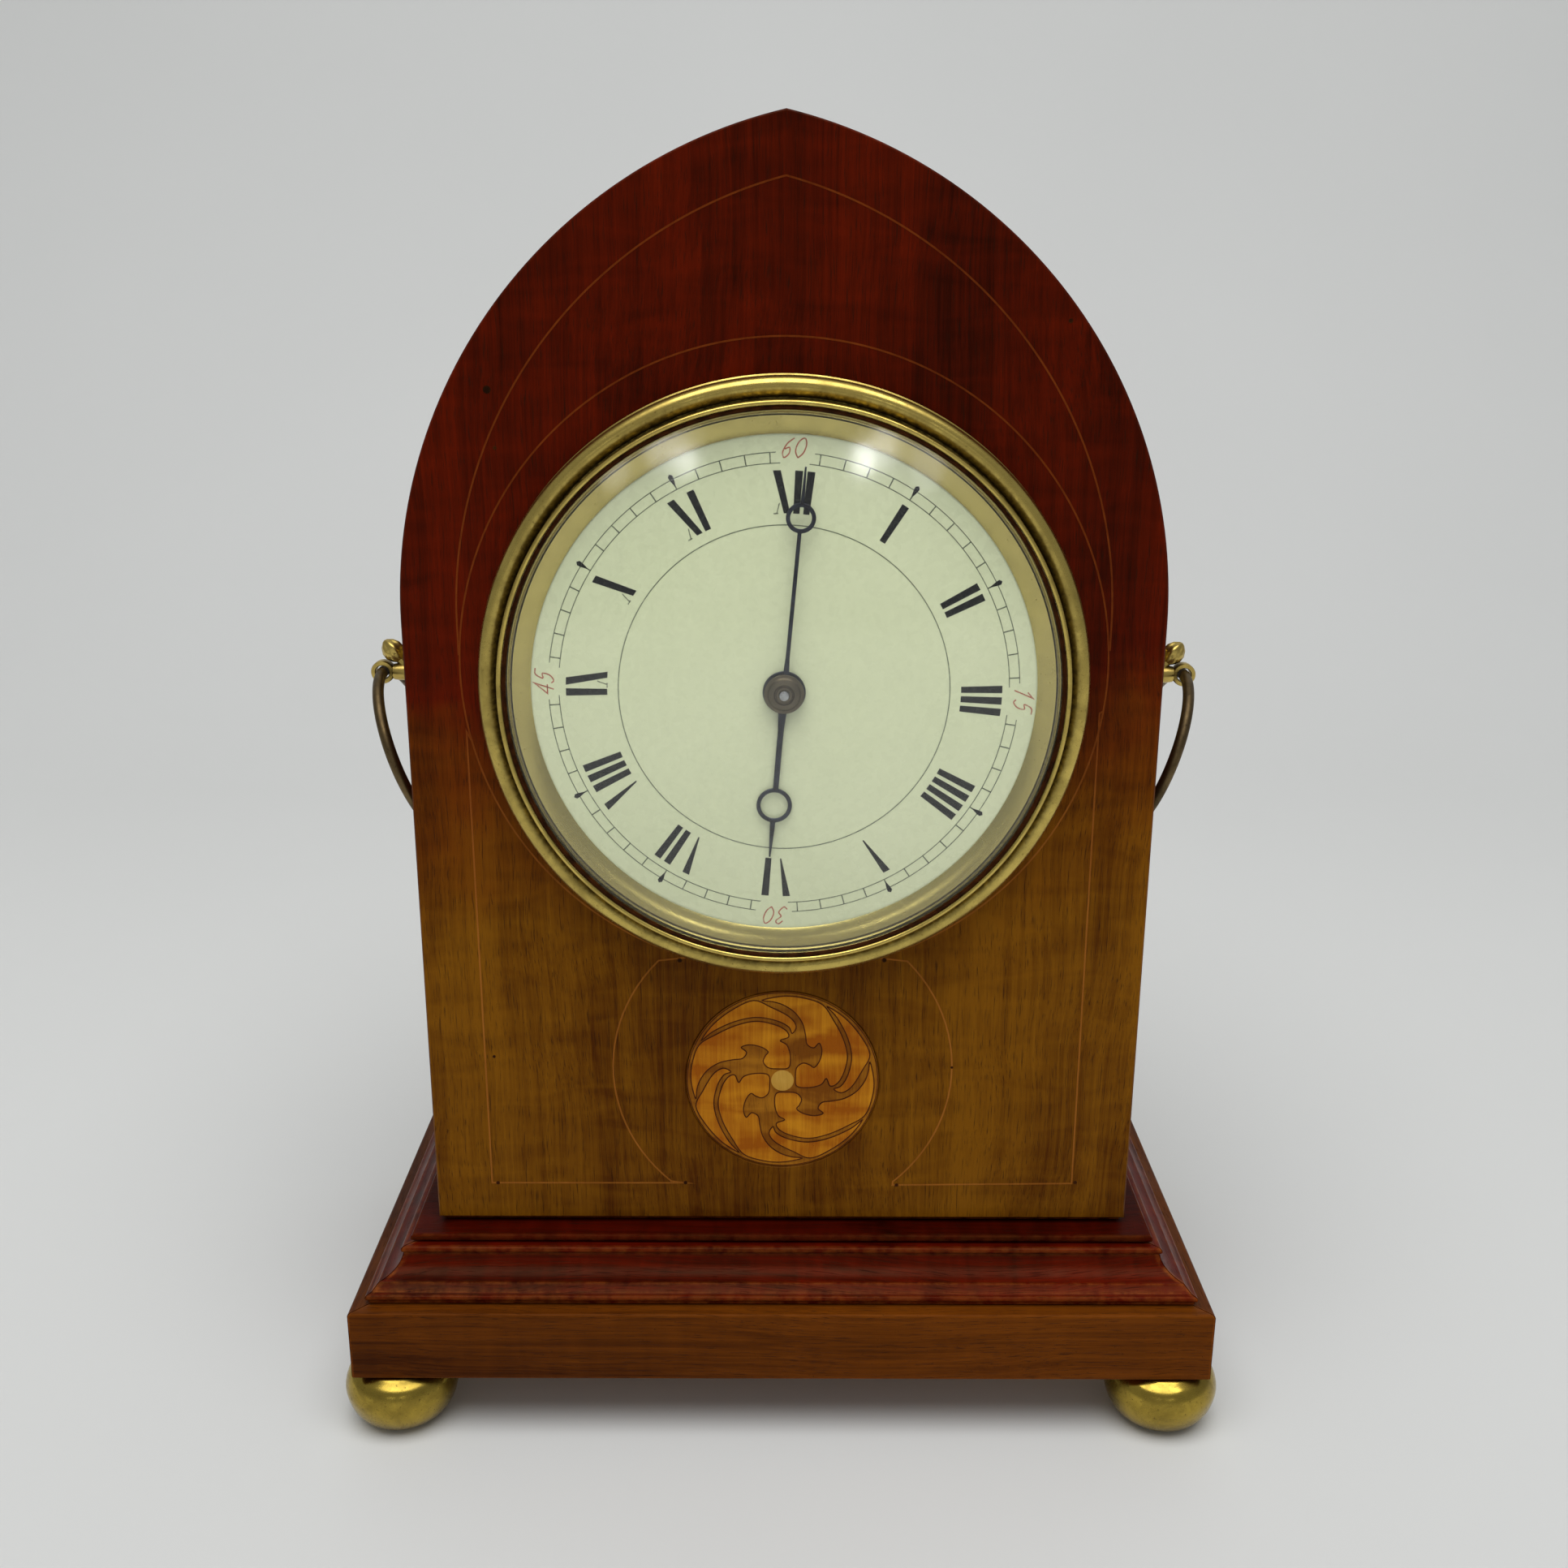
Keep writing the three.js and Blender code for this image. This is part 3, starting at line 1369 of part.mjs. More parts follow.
function settingKnob() {
  const outline = [];
  for (let i = 0; i < KNOB.ribs; i += 1) {
    const start = (i * 360) / KNOB.ribs;
    outline.push(polar(KNOB.radius, start, CENTRE));
    outline.push(polar(KNOB.radius - KNOB.ribDepth, start + 180 / KNOB.ribs, CENTRE));
  }
  const hole = rodY(CENTRE, ARBOR.radius + GAP, KNOB.front - 1, KNOB.front + 3 + GAP, 12);
  return cut(slabY(outline, KNOB.front, KNOB.front + KNOB.length), hole);
}

// ---------------------------------------------------------------- the clock

const FINISH = {
  mahogany: { color: 0x5a2a12, roughness: 0.35, metalness: 0 },
  mahoganyDark: { color: 0x3e1a0c, roughness: 0.35, metalness: 0 },
  pine: { color: 0x8a5f38, roughness: 0.7, metalness: 0 },
  satinwood: { color: 0xb9803a, roughness: 0.4, metalness: 0 },
  brass: { color: 0xb08a3c, roughness: 0.3, metalness: 1 },
  steel: { color: 0x8c9096, roughness: 0.35, metalness: 1 },
  bluedSteel: { color: 0x15171c, roughness: 0.4, metalness: 0.8 },
  enamel: { color: 0xf1ead2, roughness: 0.2, metalness: 0 },
  glass: { color: 0xf4f8f8, roughness: 0.05, metalness: 0, opacity: 0.2, transparent: true },
};

const clock = new THREE.Group();

function add(name, body, finish) {
  const mesh = new THREE.Mesh(toGeometry(body), new THREE.MeshStandardMaterial(FINISH[finish]));
  mesh.name = name;
  clock.add(mesh);
}

function addBase() {
  const moulding = mouldingProfile();
  const plinth = plinthProfile();
  const out = BASE.plinthOverhang + 1;
  add('ledge_board', ledgeBoard(), 'mahoganyDark');
  add('moulding_front', frontRun(moulding, plinthTop, BASE.mouldingBack + 1, out), 'mahogany');
  add('plinth_front', frontRun(plinth, plinthBottom, 1, out), 'mahogany');
  [[-1, 'left'], [1, 'right']].forEach(([side, name]) => {
    const inside = BASE.mouldingBack + 1;
    add(`moulding_${name}`, sideRun(moulding, plinthTop, inside, out, side), 'mahogany');
    add(`plinth_${name}`, sideRun(plinth, plinthBottom, 1, out, side), 'mahogany');
  });
  add('plinth_back', plinthBack(), 'pine');
  add('base_board', baseBoard(), 'pine');
  const inset = BASE.footRadius - BASE.footOut;
  const x = plinthHalf - inset;
  [['front', -BASE.plinthOverhang + inset], ['back', caseBack - inset]].forEach(([end, y]) => {
    add(`foot_${end}_left`, foot(-x, y), 'brass');
    add(`foot_${end}_right`, foot(x, y), 'brass');
  });
}

function addCase() {
  add('case_floor', caseFloor(), 'pine');
  add('front_panel', frontPanel(), 'mahogany');
  add('back_panel', backPanel(), 'mahoganyDark');
  add('patera', patera(), 'satinwood');
  [[-1, 'left'], [1, 'right']].forEach(([side, name]) => {
    add(`case_side_${name}`, caseSide(side), 'mahogany');
    add(`handle_mount_${name}`, handleMount(side), 'brass');
    add(`handle_ring_${name}`, handleRing(side), 'brass');
  });
}

function addDial() {
  add('bezel', bezel(), 'brass');
  add('sight_ring', sightRing(), 'brass');
  add('crystal', crystal(), 'glass');
  add('enamel_dial', enamelDial(), 'enamel');
  add('dial_plate', dialPlate(), 'brass');
  add('hour_hand', hourHand(), 'bluedSteel');
  add('minute_hand', minuteHand(), 'bluedSteel');
  add('hand_collet', handCollet(), 'brass');
}

function addMovement() {
  add('cannon_pinion', cannonPinion(), 'steel');
  add('minute_wheel', minuteWheel(), 'brass');
  add('hour_wheel', hourWheel(), 'brass');
  add('front_plate', frontPlate(), 'brass');
  add('back_plate', backPlate(), 'brass');
  add('barrel', barrel(), 'brass');
  add('barrel_arbor', barrelArbor(), 'steel');
  add('ratchet_wheel', ratchetWheel(), 'steel');
  add('click', click(), 'steel');
  add('click_spring', clickSpring(), 'steel');
  add('intermediate_wheel', intermediateWheel(), 'brass');
  add('centre_wheel', centreWheel(), 'brass');
  add('third_wheel', thirdWheel(), 'brass');
  add('fourth_wheel', fourthWheel(), 'brass');
  add('escape_wheel', escapeWheel(), 'steel');
  add('lever', lever(), 'steel');
  add('balance_wheel', balance(), 'brass');
  add('hairspring', hairspring(), 'steel');
  add('balance_cock', balanceCock(), 'brass');
  add('setting_knob', settingKnob(), 'brass');
}

function addBack() {
  add('strap_top', strap(1), 'brass');
  add('strap_bottom', strap(-1), 'brass');
  add('strap_screw_top', strapScrew(1), 'steel');
  add('strap_screw_bottom', strapScrew(-1), 'steel');
  add('back_ring', backRing(), 'brass');
  add('back_door', backDoor(), 'brass');
  add('door_hinge_pin', doorHingePin(), 'steel');
  add('door_knob', doorKnob(), 'brass');
}

addBase();
addCase();
addDial();
addMovement();
addBack();

// The origin is under the middle of the whole clock, on the surface that it stands on.
const bounds = new THREE.Box3().setFromObject(clock);
const middle = bounds.getCenter(new THREE.Vector3());
clock.position.set(-middle.x, -middle.y, -bounds.min.z);
clock.updateMatrixWorld(true);

export default clock;
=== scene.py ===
# %% [markdown]
# # A mahogany bracket clock with a pointed top
# The measured solids of the clock come in first as a fixed frame. Every piece made below is set in that
# same frame, so a veneer or a moulding lands exactly where the real one sits, and it rides on the body
# that it belongs to. Blender works in metres; this file thinks in millimetres, measured from the middle
# of the clock (x), from the front face of the case (y, towards the back) and from the table (z).

# %% The frame and the units
import math

import bmesh
import bpy
from mathutils import Matrix, Vector
from mathutils.geometry import tessellate_polygon


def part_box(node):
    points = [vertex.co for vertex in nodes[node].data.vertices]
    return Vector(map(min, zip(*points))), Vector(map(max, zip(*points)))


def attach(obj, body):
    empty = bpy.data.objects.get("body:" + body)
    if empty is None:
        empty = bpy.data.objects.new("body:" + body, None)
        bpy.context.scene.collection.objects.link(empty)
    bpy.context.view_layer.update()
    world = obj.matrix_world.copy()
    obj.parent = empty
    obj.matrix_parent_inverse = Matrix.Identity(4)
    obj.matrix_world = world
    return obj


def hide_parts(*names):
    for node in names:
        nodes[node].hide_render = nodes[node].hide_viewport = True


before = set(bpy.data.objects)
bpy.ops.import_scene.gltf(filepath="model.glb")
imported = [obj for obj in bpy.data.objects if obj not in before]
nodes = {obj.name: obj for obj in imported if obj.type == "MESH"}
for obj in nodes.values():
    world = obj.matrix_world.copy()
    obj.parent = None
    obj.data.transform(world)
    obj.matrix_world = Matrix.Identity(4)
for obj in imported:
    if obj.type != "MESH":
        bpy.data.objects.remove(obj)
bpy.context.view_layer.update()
MM = 0.001
CASE_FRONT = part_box("front_panel")[0].y / MM
DIAL_Z = 195.4
SIDES = ((-1, "left"), (1, "right"))


def at(x, y, z):
    """A place in millimetres on the clock, as a place in Blender's metres."""
    return Vector((x, y + CASE_FRONT, z)) * MM


def in_scene(name, data):
    """A new object for that mesh, lamp or camera, put in the scene."""
    thing = bpy.data.objects.new(name, data)
    bpy.context.scene.collection.objects.link(thing)
    return thing


# %% [markdown]
# ## The camera
# The straight lines and the round dial of the photograph were enough to work out where its camera
# stood: about 37 cm in front of the case and 28 cm up, looking down on it by some seventeen degrees.
# A camera can be placed by location and rotation numbers, or by a matrix. The matrix is used here
# because the fit gave three turns that are easy to multiply in order.

# %% The camera
def turned_by(degrees, axis):
    return Matrix.Rotation(math.radians(degrees), 4, axis)


camera_data = bpy.data.cameras.new("camera")
camera_data.sensor_width = 36
camera_data.lens = 36.98
camera = in_scene("camera", camera_data)
aim = turned_by(-0.18, "Z") @ turned_by(-16.70, "X") @ turned_by(-0.24, "Y")
camera.matrix_world = Matrix.Translation(at(-1.1, -372.8, 282.6)) @ aim @ turned_by(90, "X")
bpy.context.scene.camera = camera
print("camera at", [round(v, 3) for v in camera.location], "lens", camera_data.lens)

# %% [markdown]
# ## Making a mesh from rows of points
# Nearly every piece of this clock is either turned (bezel, feet, door), run (mouldings, plinth) or cut
# from a flat sheet (veneer, hands, inlay). All three are rows of points with faces between
# neighbouring rows, so a few small helpers build everything. A modifier stack could do the same, but
# points worked out in code land exactly on the clock's measured sizes.

# %% Rows of points
def grid(rows, wrap_rows=False, wrap_row=False):
    """Faces between rows of equal length. A shape is (points, faces)."""
    across = len(rows[0])
    points = [p for row in rows for p in row]
    faces = []
    for i in range(len(rows) if wrap_rows else len(rows) - 1):
        for j in range(across if wrap_row else across - 1):
            near, far = i * across, ((i + 1) % len(rows)) * across
            following = (j + 1) % across
            faces.append((near + j, near + following, far + following, far + j))
    return points, faces


def bar(rows):
    """A solid whose rows are closed sections, with a face over each end."""
    points, faces = grid(rows, wrap_row=True)
    first = tuple(range(len(rows[0])))
    last = tuple(len(points) - len(first) + i for i in first)
    return points, faces + [first, last]


def together(*shapes):
    """Several shapes as one."""
    points, faces = [], []
    for some_points, some_faces in shapes:
        start = len(points)
        points += some_points
        faces += [tuple(start + i for i in face) for face in some_faces]
    return points, faces


def arc(x, y, radius, start, end, steps):
    angles = [math.radians(start + (end - start) * i / steps) for i in range(steps + 1)]
    return [(x + radius * math.cos(a), y + radius * math.sin(a)) for a in angles]


def circle(x, y, radius, steps=96):
    return arc(x, y, radius, 0, 360, steps)[:-1]


def oblong(left, bottom, right, top):
    return [(left, bottom), (right, bottom), (right, top), (left, top)]


def eased(points, steps=4, closed=False):
    """A smooth line through the points, for leaves, feet and other drawn curves."""
    count = len(points)
    smooth = []
    for i in range(count if closed else count - 1):
        places = [i + k for k in (-1, 0, 1, 2)]
        if not closed:
            places = [min(max(place, 0), count - 1) for place in places]
        a, b, c, d = (points[place % count] for place in places)
        for s in range(steps):
            t = s / steps
            smooth.append(tuple(
                0.5 * (2 * q + (r - p) * t + (2 * p - 5 * q + 4 * r - v) * t**2
                       + (3 * q - p - 3 * r + v) * t**3)
                for p, q, r, v in zip(a, b, c, d)
            ))
    return smooth if closed else smooth + [points[-1]]


def turned(profile, centre, axis="Y", steps=128, closed=True):
    """A turned piece. The profile is (radius, place along the axis)."""
    rows = []
    for i in range(steps):
        a = 2 * math.pi * i / steps
        s, c = math.sin(a), math.cos(a)
        if axis == "Y":
            rows.append([(centre[0] + r * s, along, centre[1] + r * c) for r, along in profile])
        elif axis == "Z":
            rows.append([(centre[0] + r * s, centre[1] + r * c, along) for r, along in profile])
        else:
            rows.append([(along, centre[0] + r * s, centre[1] + r * c) for r, along in profile])
    return grid(rows, wrap_rows=True, wrap_row=closed)


print("a ring of", len(turned([(9, 0), (10, 0), (10, 1)], (0, 0))[1]), "faces, as a trial")

# %% [markdown]
# Flat work needs an outline moved inwards or outwards by an even amount: that gives the small arris
# along the edge of a board, and the two sides of a thin line of inlay. A slab is an outline, with or
# without holes, carried back from one depth to another.

# %% Flat work
def inset(loop, amount, closed=True):
    """The loop moved to its left by an even amount, corners kept sharp."""
    count = len(loop)
    moved = []
    for i, here in enumerate(loop):
        before = loop[i - 1] if closed or i else None
        after = loop[(i + 1) % count] if closed or i < count - 1 else None
        normals = []
        for p, q in ((before, here), (here, after)):
            if p is None or q is None:
                continue
            across, up = q[0] - p[0], q[1] - p[1]
            length = math.hypot(across, up)
            if length > 1e-9:
                normals.append((-up / length, across / length))
        nx, ny = sum(n[0] for n in normals), sum(n[1] for n in normals)
        square = max(nx * nx + ny * ny, 1e-9)
        reach = amount * (len(normals) / square) if len(normals) > 1 else amount
        moved.append((here[0] + nx * reach, here[1] + ny * reach))
    return moved


def area(loop):
    return sum(p[0] * q[1] - q[0] * p[1] for p, q in zip(loop, loop[1:] + loop[:1])) / 2


def slab(outline, y0, y1, holes=(), arris=0.0):
    """A board seen from the front: outlines are (x, z), carried back from y0 to y1."""
    loops = [outline if area(outline) > 0 else outline[::-1]]
    loops += [hole if area(hole) < 0 else hole[::-1] for hole in holes]
    levels = [(y0, arris), (y0 + arris, 0), (y1 - arris, 0), (y1, arris)]
    if not arris:
        levels = [(y0, 0), (y1, 0)]
    points, faces = [], []
    for y, amount in levels:
        for loop in loops:
            points += [(x, y, z) for x, z in inset(loop, amount)]
    size = sum(len(loop) for loop in loops)
    flat = [Vector((p[0], p[2], 0)) for p in points[:size]]
    starts = [0]
    for loop in loops:
        starts.append(starts[-1] + len(loop))
    cut = tessellate_polygon([flat[a:b] for a, b in zip(starts, starts[1:])])
    last = size * (len(levels) - 1)
    faces += [tuple(t) for t in cut] + [tuple(last + i for i in t) for t in cut]
    for level in range(len(levels) - 1):
        for start, loop in zip(starts, loops):
            for i in range(len(loop)):
                a, b = level * size + start + i, level * size + start + (i + 1) % len(loop)
                faces.append((a, b, b + size, a + size))
    return points, faces


def line(path, width, y, closed=False, depth=0.3):
    """A thin flat line let into a surface: inlay, or the printing on the dial."""
    left, right = inset(path, width / 2, closed), inset(path, -width / 2, closed)
    rows = [
        [(a[0], y, a[1]), (b[0], y, b[1]), (b[0], y + depth, b[1]), (a[0], y + depth, a[1])]
        for a, b in zip(left, right)
    ]
    return grid(rows, wrap_rows=True, wrap_row=True) if closed else bar(rows)


# %% [markdown]
# A shape becomes a piece when it has a mesh, a name, a body to ride on, a finish, and the frame's
# solid that it stands for. Wood also keeps its own grain directions: three numbers on each point that
# say how far it is across, through and along its board, so that the grain follows a bent side.

# %% A shape becomes a piece
made = {}


def add_piece(name, shape, body, material, stands_for=(), crease=35, grain=None):
    mesh = bpy.data.meshes.new(name)
    mesh.from_pydata([at(*p) for p in shape[0]], [], shape[1])
    work = bmesh.new()
    work.from_mesh(mesh)
    bmesh.ops.remove_doubles(work, verts=work.verts, dist=1e-6)
    bmesh.ops.dissolve_degenerate(work, edges=work.edges, dist=1e-7)
    bmesh.ops.recalc_face_normals(work, faces=work.faces)
    if grain:
        layer = work.verts.layers.float_vector.new("grain")
        for vertex in work.verts:
            place = vertex.co / MM
            vertex[layer] = Vector(grain(place.x, place.y - CASE_FRONT, place.z))
    work.to_mesh(mesh)
    work.free()
    mesh.shade_smooth()
    mesh.set_sharp_from_angle(angle=math.radians(crease))
    mesh.materials.append(material)
    piece = in_scene(name, mesh)
    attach(piece, body)
    if stands_for:
        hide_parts(*stands_for)
    made[name] = piece
    return piece


# %% [markdown]
# ## Small tools for materials
# A material is a graph of nodes. Written out in full, each node takes four or five lines, so a few
# helpers put a node down, join it up and hand back its output. A shared effect is a node group with
# named inputs and outputs: it is built once here and used in many materials with other values.

# %% Putting nodes down
def feed(tree, sockets, values):
    """Each socket gets its value, or a link when the value is another node's socket."""
    for key, value in values.items():
        if isinstance(value, bpy.types.NodeSocket):
            tree.links.new(value, sockets[key])
        else:
            sockets[key].default_value = value


def put(tree, kind, inputs=None, **settings):
    """A node of that kind, with its settings, its values and its links."""
    node = tree.nodes.new("ShaderNode" + kind)
    for key, value in settings.items():
        setattr(node, key, value)
    feed(tree, node.inputs, inputs or {})
    return node


def shared(tree, group, values):
    """The outputs of a node group that is used with these values."""
    return put(tree, "Group", values, node_tree=group).outputs


def maths(tree, operation, a, b=0.0, clamp=False):
    return put(tree, "Math", {0: a, 1: b}, operation=operation, use_clamp=clamp).outputs[0]


def times(tree, a, b):
    return maths(tree, "MULTIPLY", a, b)


def weighted(tree, *terms, start=0.0):
    """The start, plus each value times its weight."""
    total = start
    for value, weight in terms:
        values = {0: value, 1: weight, 2: total}
        total = put(tree, "Math", values, operation="MULTIPLY_ADD").outputs[0]
    return total


def scaled(tree, vector, factors):
    return put(tree, "VectorMath", {0: vector, 1: factors}, operation="MULTIPLY").outputs[0]


def noise(tree, vector, scale, detail=2.0, roughness=0.5, distortion=0.0):
    values = {"Vector": vector, "Scale": scale, "Detail": detail,
              "Roughness": roughness, "Distortion": distortion}
    return put(tree, "TexNoise", values).outputs[0]


def stretched(tree, vector, factors, detail, roughness=0.5, distortion=0.0):
    """Noise that is squeezed by another amount each way, for grain and for strokes."""
    return noise(tree, scaled(tree, vector, factors), 1.0, detail, roughness, distortion)


def between(tree, value, low, high, to_low=0.0, to_high=1.0):
    """The value stretched so that low to high becomes to_low to to_high, and held there."""
    return put(tree, "MapRange", {0: value, 1: low, 2: high, 3: to_low, 4: to_high}).outputs[0]


def colours(tree, factor, a, b):
    """A mix of two colours: a where the factor is 0, and b where it is 1."""
    return put(tree, "Mix", {0: factor, 6: a, 7: b}, data_type="RGBA").outputs[2]


def rgb(red, green, blue):
    """A colour as it looks on a screen, from 0 to 255, as the linear value that a shader needs."""
    linear = [c / 255 / 12.92 if c < 11 else ((c / 255 + 0.055) / 1.055) ** 2.4
              for c in (red, green, blue)]
    return (*linear, 1.0)


SOCKETS = {"value": "NodeSocketFloat", "colour": "NodeSocketColor", "vector": "NodeSocketVector"}


def new_group(name, inputs, outputs):
    """An empty node group. Inputs are (name, kind, value) and outputs (name, kind)."""
    tree = bpy.data.node_groups.new(name, "ShaderNodeTree")
    for label, kind, value in inputs:
        socket = tree.interface.new_socket(label, in_out="INPUT", socket_type=SOCKETS[kind])
        socket.default_value = value
    for label, kind in outputs:
        tree.interface.new_socket(label, in_out="OUTPUT", socket_type=SOCKETS[kind])
    given = tree.nodes.new("NodeGroupInput").outputs
    result = tree.nodes.new("NodeGroupOutput").inputs
    return tree, given, result


def send(tree, result, **outputs):
    for label, socket in outputs.items():
        tree.links.new(socket, result[label])


def new_material(name):
    """A plain material, its nodes, its shader's inputs and the place on the piece in millimetres."""
    material = bpy.data.materials.new(name)
    material.use_nodes = True
    tree = material.node_tree
    place = scaled(tree, put(tree, "TexCoord").outputs["Object"], (1 / MM, 1 / MM, 1 / MM))
    return material, tree, tree.nodes["Principled BSDF"].inputs, place


def bumped(tree, height, distance):
    """A normal from a height, where a height of 1 stands up by that many millimetres."""
    values = {"Height": height, "Distance": distance * MM, "Strength": 1.0}
    return put(tree, "Bump", values).outputs["Normal"]


# %% [markdown]
# ## Wood grain
# Mahogany shows three things at three sizes: slow bands of lighter and darker red a few centimetres
# wide, narrow stripes of a millimetre or two, and open pores that look like short dark dashes. Each
# is the same noise, squeezed across the grain and stretched along it. Wave textures make rings that
# look printed, so stretched noise is used for all three. The group takes a light and a dark colour,
# so veneer, pine and satinwood can share it.

# %% The wood grain group
def wood_grain_group():
    tree, given, result = new_group(
        "Wood grain",
        [("Grain", "vector", (0, 0, 0)), ("Light", "colour", (0.2, 0.07, 0.02, 1)),
         ("Dark", "colour", (0.05, 0.012, 0.004, 1)), ("Stripe", "value", 0.4),
         ("Pores", "value", 0.6), ("Curl", "value", 0.3)],
        [("Color", "colour"), ("Roughness", "value"), ("Height", "value")],
    )
    grain = given["Grain"]
    sway = stretched(tree, grain, (0.02, 0.02, 0.009), 2)
    sway = times(tree, maths(tree, "SUBTRACT", sway, 0.5), 14)
    shift = put(tree, "CombineXYZ", {0: sway, 1: sway}).outputs[0]
    grain = put(tree, "VectorMath", {0: grain, 1: shift}, operation="ADD").outputs[0]
    bands = stretched(tree, grain, (0.035, 0.035, 0.004), 3, 0.55)
    squeeze = put(tree, "CombineXYZ", {0: given["Stripe"], 1: given["Stripe"], 2: 0.006})
    stripes = stretched(tree, grain, squeeze.outputs[0], 5, 0.62, 0.4)
    fibres = stretched(tree, grain, (2.6, 2.6, 0.05), 3, 0.6)
    curl = maths(tree, "SUBTRACT", stretched(tree, grain, (0.05, 0.05, 0.16), 2, 0.5, 0.6), 0.5)
    figure = weighted(tree, (bands, 0.5), (stripes, 0.36), (fibres, 0.14), (curl, given["Curl"]))
    figure = between(tree, figure, 0.38, 0.62)
    dashes = stretched(tree, grain, (4.2, 4.2, 0.16), 2)
    dashes = times(tree, between(tree, dashes, 0.58, 0.7), given["Pores"])
    colour = colours(tree, figure, given["Dark"], given["Light"])
    colour = colours(tree, dashes, colour, (0.012, 0.004, 0.002, 1))
    rough = weighted(tree, (dashes, 0.3), (fibres, 0.16))
    height = weighted(tree, (fibres, 0.25), (dashes, -1))
    send(tree, result, Color=colour, Roughness=rough, Height=height)
    return tree


WOOD_GRAIN = wood_grain_group()
print("wood grain group:", len(WOOD_GRAIN.nodes), "nodes")

# %% [markdown]
# ## Age: worn edges with painted highlights, hollows full of old wax, and dust
# A hundred years of hands and polish wear an edge pale and leave dark wax in every hollow. On the
# mahogany of the base the pale edge also stands as a painted highlight along beads and arrises. The
# shader can find both: a Bevel node rounds the normal near an edge, so the difference from the true
# normal marks the edge, and Ambient Occlusion is dark in the hollows. Painting masks by hand would
# look as good but would belong to one mesh only; this works on every piece.

# %% The age group
def age_group():
    tree, given, result = new_group(
        "Age",
        [("Place", "vector", (0, 0, 0)), ("Edge width", "value", 0.0006),
         ("Hollow size", "value", 0.003)],
        [("Wear", "value"), ("Grime", "value"), ("Cloud", "value"), ("Specks", "value")],
    )
    place = given["Place"]
    rounded = put(tree, "Bevel", {"Radius": given["Edge width"]}, samples=4).outputs[0]
    true = put(tree, "NewGeometry").outputs["True Normal"]
    alike = put(tree, "VectorMath", {0: rounded, 1: true}, operation="DOT_PRODUCT").outputs["Value"]
    edge = between(tree, alike, 0.995, 0.9)
    wear = times(tree, edge, between(tree, noise(tree, place, 0.35, 3, 0.6), 0.35, 0.6))
    open_sky = put(tree, "AmbientOcclusion", {"Distance": given["Hollow size"]},
                   samples=6, only_local=True).outputs["AO"]
    grime = times(tree, between(tree, open_sky, 0.95, 0.45),
                  between(tree, noise(tree, place, 0.8, 3), 0.3, 0.6, 0.35, 1.0))
    cloud = noise(tree, place, 0.06, 4, 0.6)
    specks = between(tree, noise(tree, place, 1.9, 1, 0.4), 0.72, 0.78)
    send(tree, result, Wear=wear, Grime=grime, Cloud=cloud, Specks=specks)
    return tree


AGE = age_group()
print("age group:", len(AGE.nodes), "nodes")

# %% [markdown]
# ## Brass
# Old brass is never one yellow. Where hands and cloths reach it stays bright; elsewhere it goes brown
# in clouds and small spots, and the hollows keep dark polish residue. Turned pieces also show very
# fine rings. The group puts out a colour, a roughness and a height, and each brass material sets how
# bright or how brown it is.

# %% The old brass group and the turning marks group
def old_brass_group():
    tree, given, result = new_group(
        "Old brass",
        [("Place", "vector", (0, 0, 0)), ("Grime", "value", 0.0), ("Wear", "value", 0.0),
         ("Bright", "colour", (0.70, 0.52, 0.14, 1)), ("Brown", "colour", (0.20, 0.13, 0.035, 1)),
         ("Tarnish", "value", 0.4), ("Polish", "value", 0.2)],
        [("Color", "colour"), ("Roughness", "value"), ("Height", "value")],
    )
    place = given["Place"]
    clouds = between(tree, noise(tree, place, 0.11, 5, 0.65, 0.6), 0.36, 0.68)
    spots = between(tree, noise(tree, place, 1.3, 3, 0.6), 0.6, 0.74)
    brown = weighted(tree, (clouds, 0.75), (spots, 0.6))
    brown = maths(tree, "MULTIPLY", brown, given["Tarnish"], clamp=True)
    brown = maths(tree, "SUBTRACT", brown, given["Wear"], clamp=True)
    colour = colours(tree, brown, given["Bright"], given["Brown"])
    colour = colours(tree, given["Grime"], colour, (0.035, 0.018, 0.008, 1))
    scratches = stretched(tree, place, (0.4, 0.4, 5.0), 3, 0.7)
    rough = weighted(tree, (brown, 0.3), (scratches, 0.12), (given["Grime"], 0.35),
                     start=given["Polish"])
    height = weighted(tree, (scratches, 0.3), (spots, -0.5))
    send(tree, result, Color=colour, Roughness=rough, Height=height)
    return tree


def turning_group():
    """Fine rings about a point, as a lathe or a polishing wheel leaves them."""
    tree, given, result = new_group(
        "Turning marks",
        [("Place", "vector", (0, 0, 0)), ("Centre", "vector", (0, 0, DIAL_Z)),
         ("Fineness", "value", 3.0)],
        [("Height", "value"), ("Sheen", "value")],
    )
    points = {0: given["Place"], 1: given["Centre"]}
    offset = put(tree, "VectorMath", points, operation="SUBTRACT").outputs[0]
    flat = scaled(tree, offset, (1, 0, 1))
    radius = put(tree, "VectorMath", {0: flat}, operation="LENGTH").outputs["Value"]
    values = {"W": times(tree, radius, given["Fineness"]), "Scale": 1.0, "Detail": 4.0,
              "Roughness": 0.7}
    rings = put(tree, "TexNoise", values, noise_dimensions="1D").outputs[0]
    send(tree, result, Height=rings, Sheen=between(tree, rings, 0.3, 0.7))
    return tree


OLD_BRASS = old_brass_group()
TURNING = turning_group()
print("brass groups:", len(OLD_BRASS.nodes), "and", len(TURNING.nodes), "nodes")
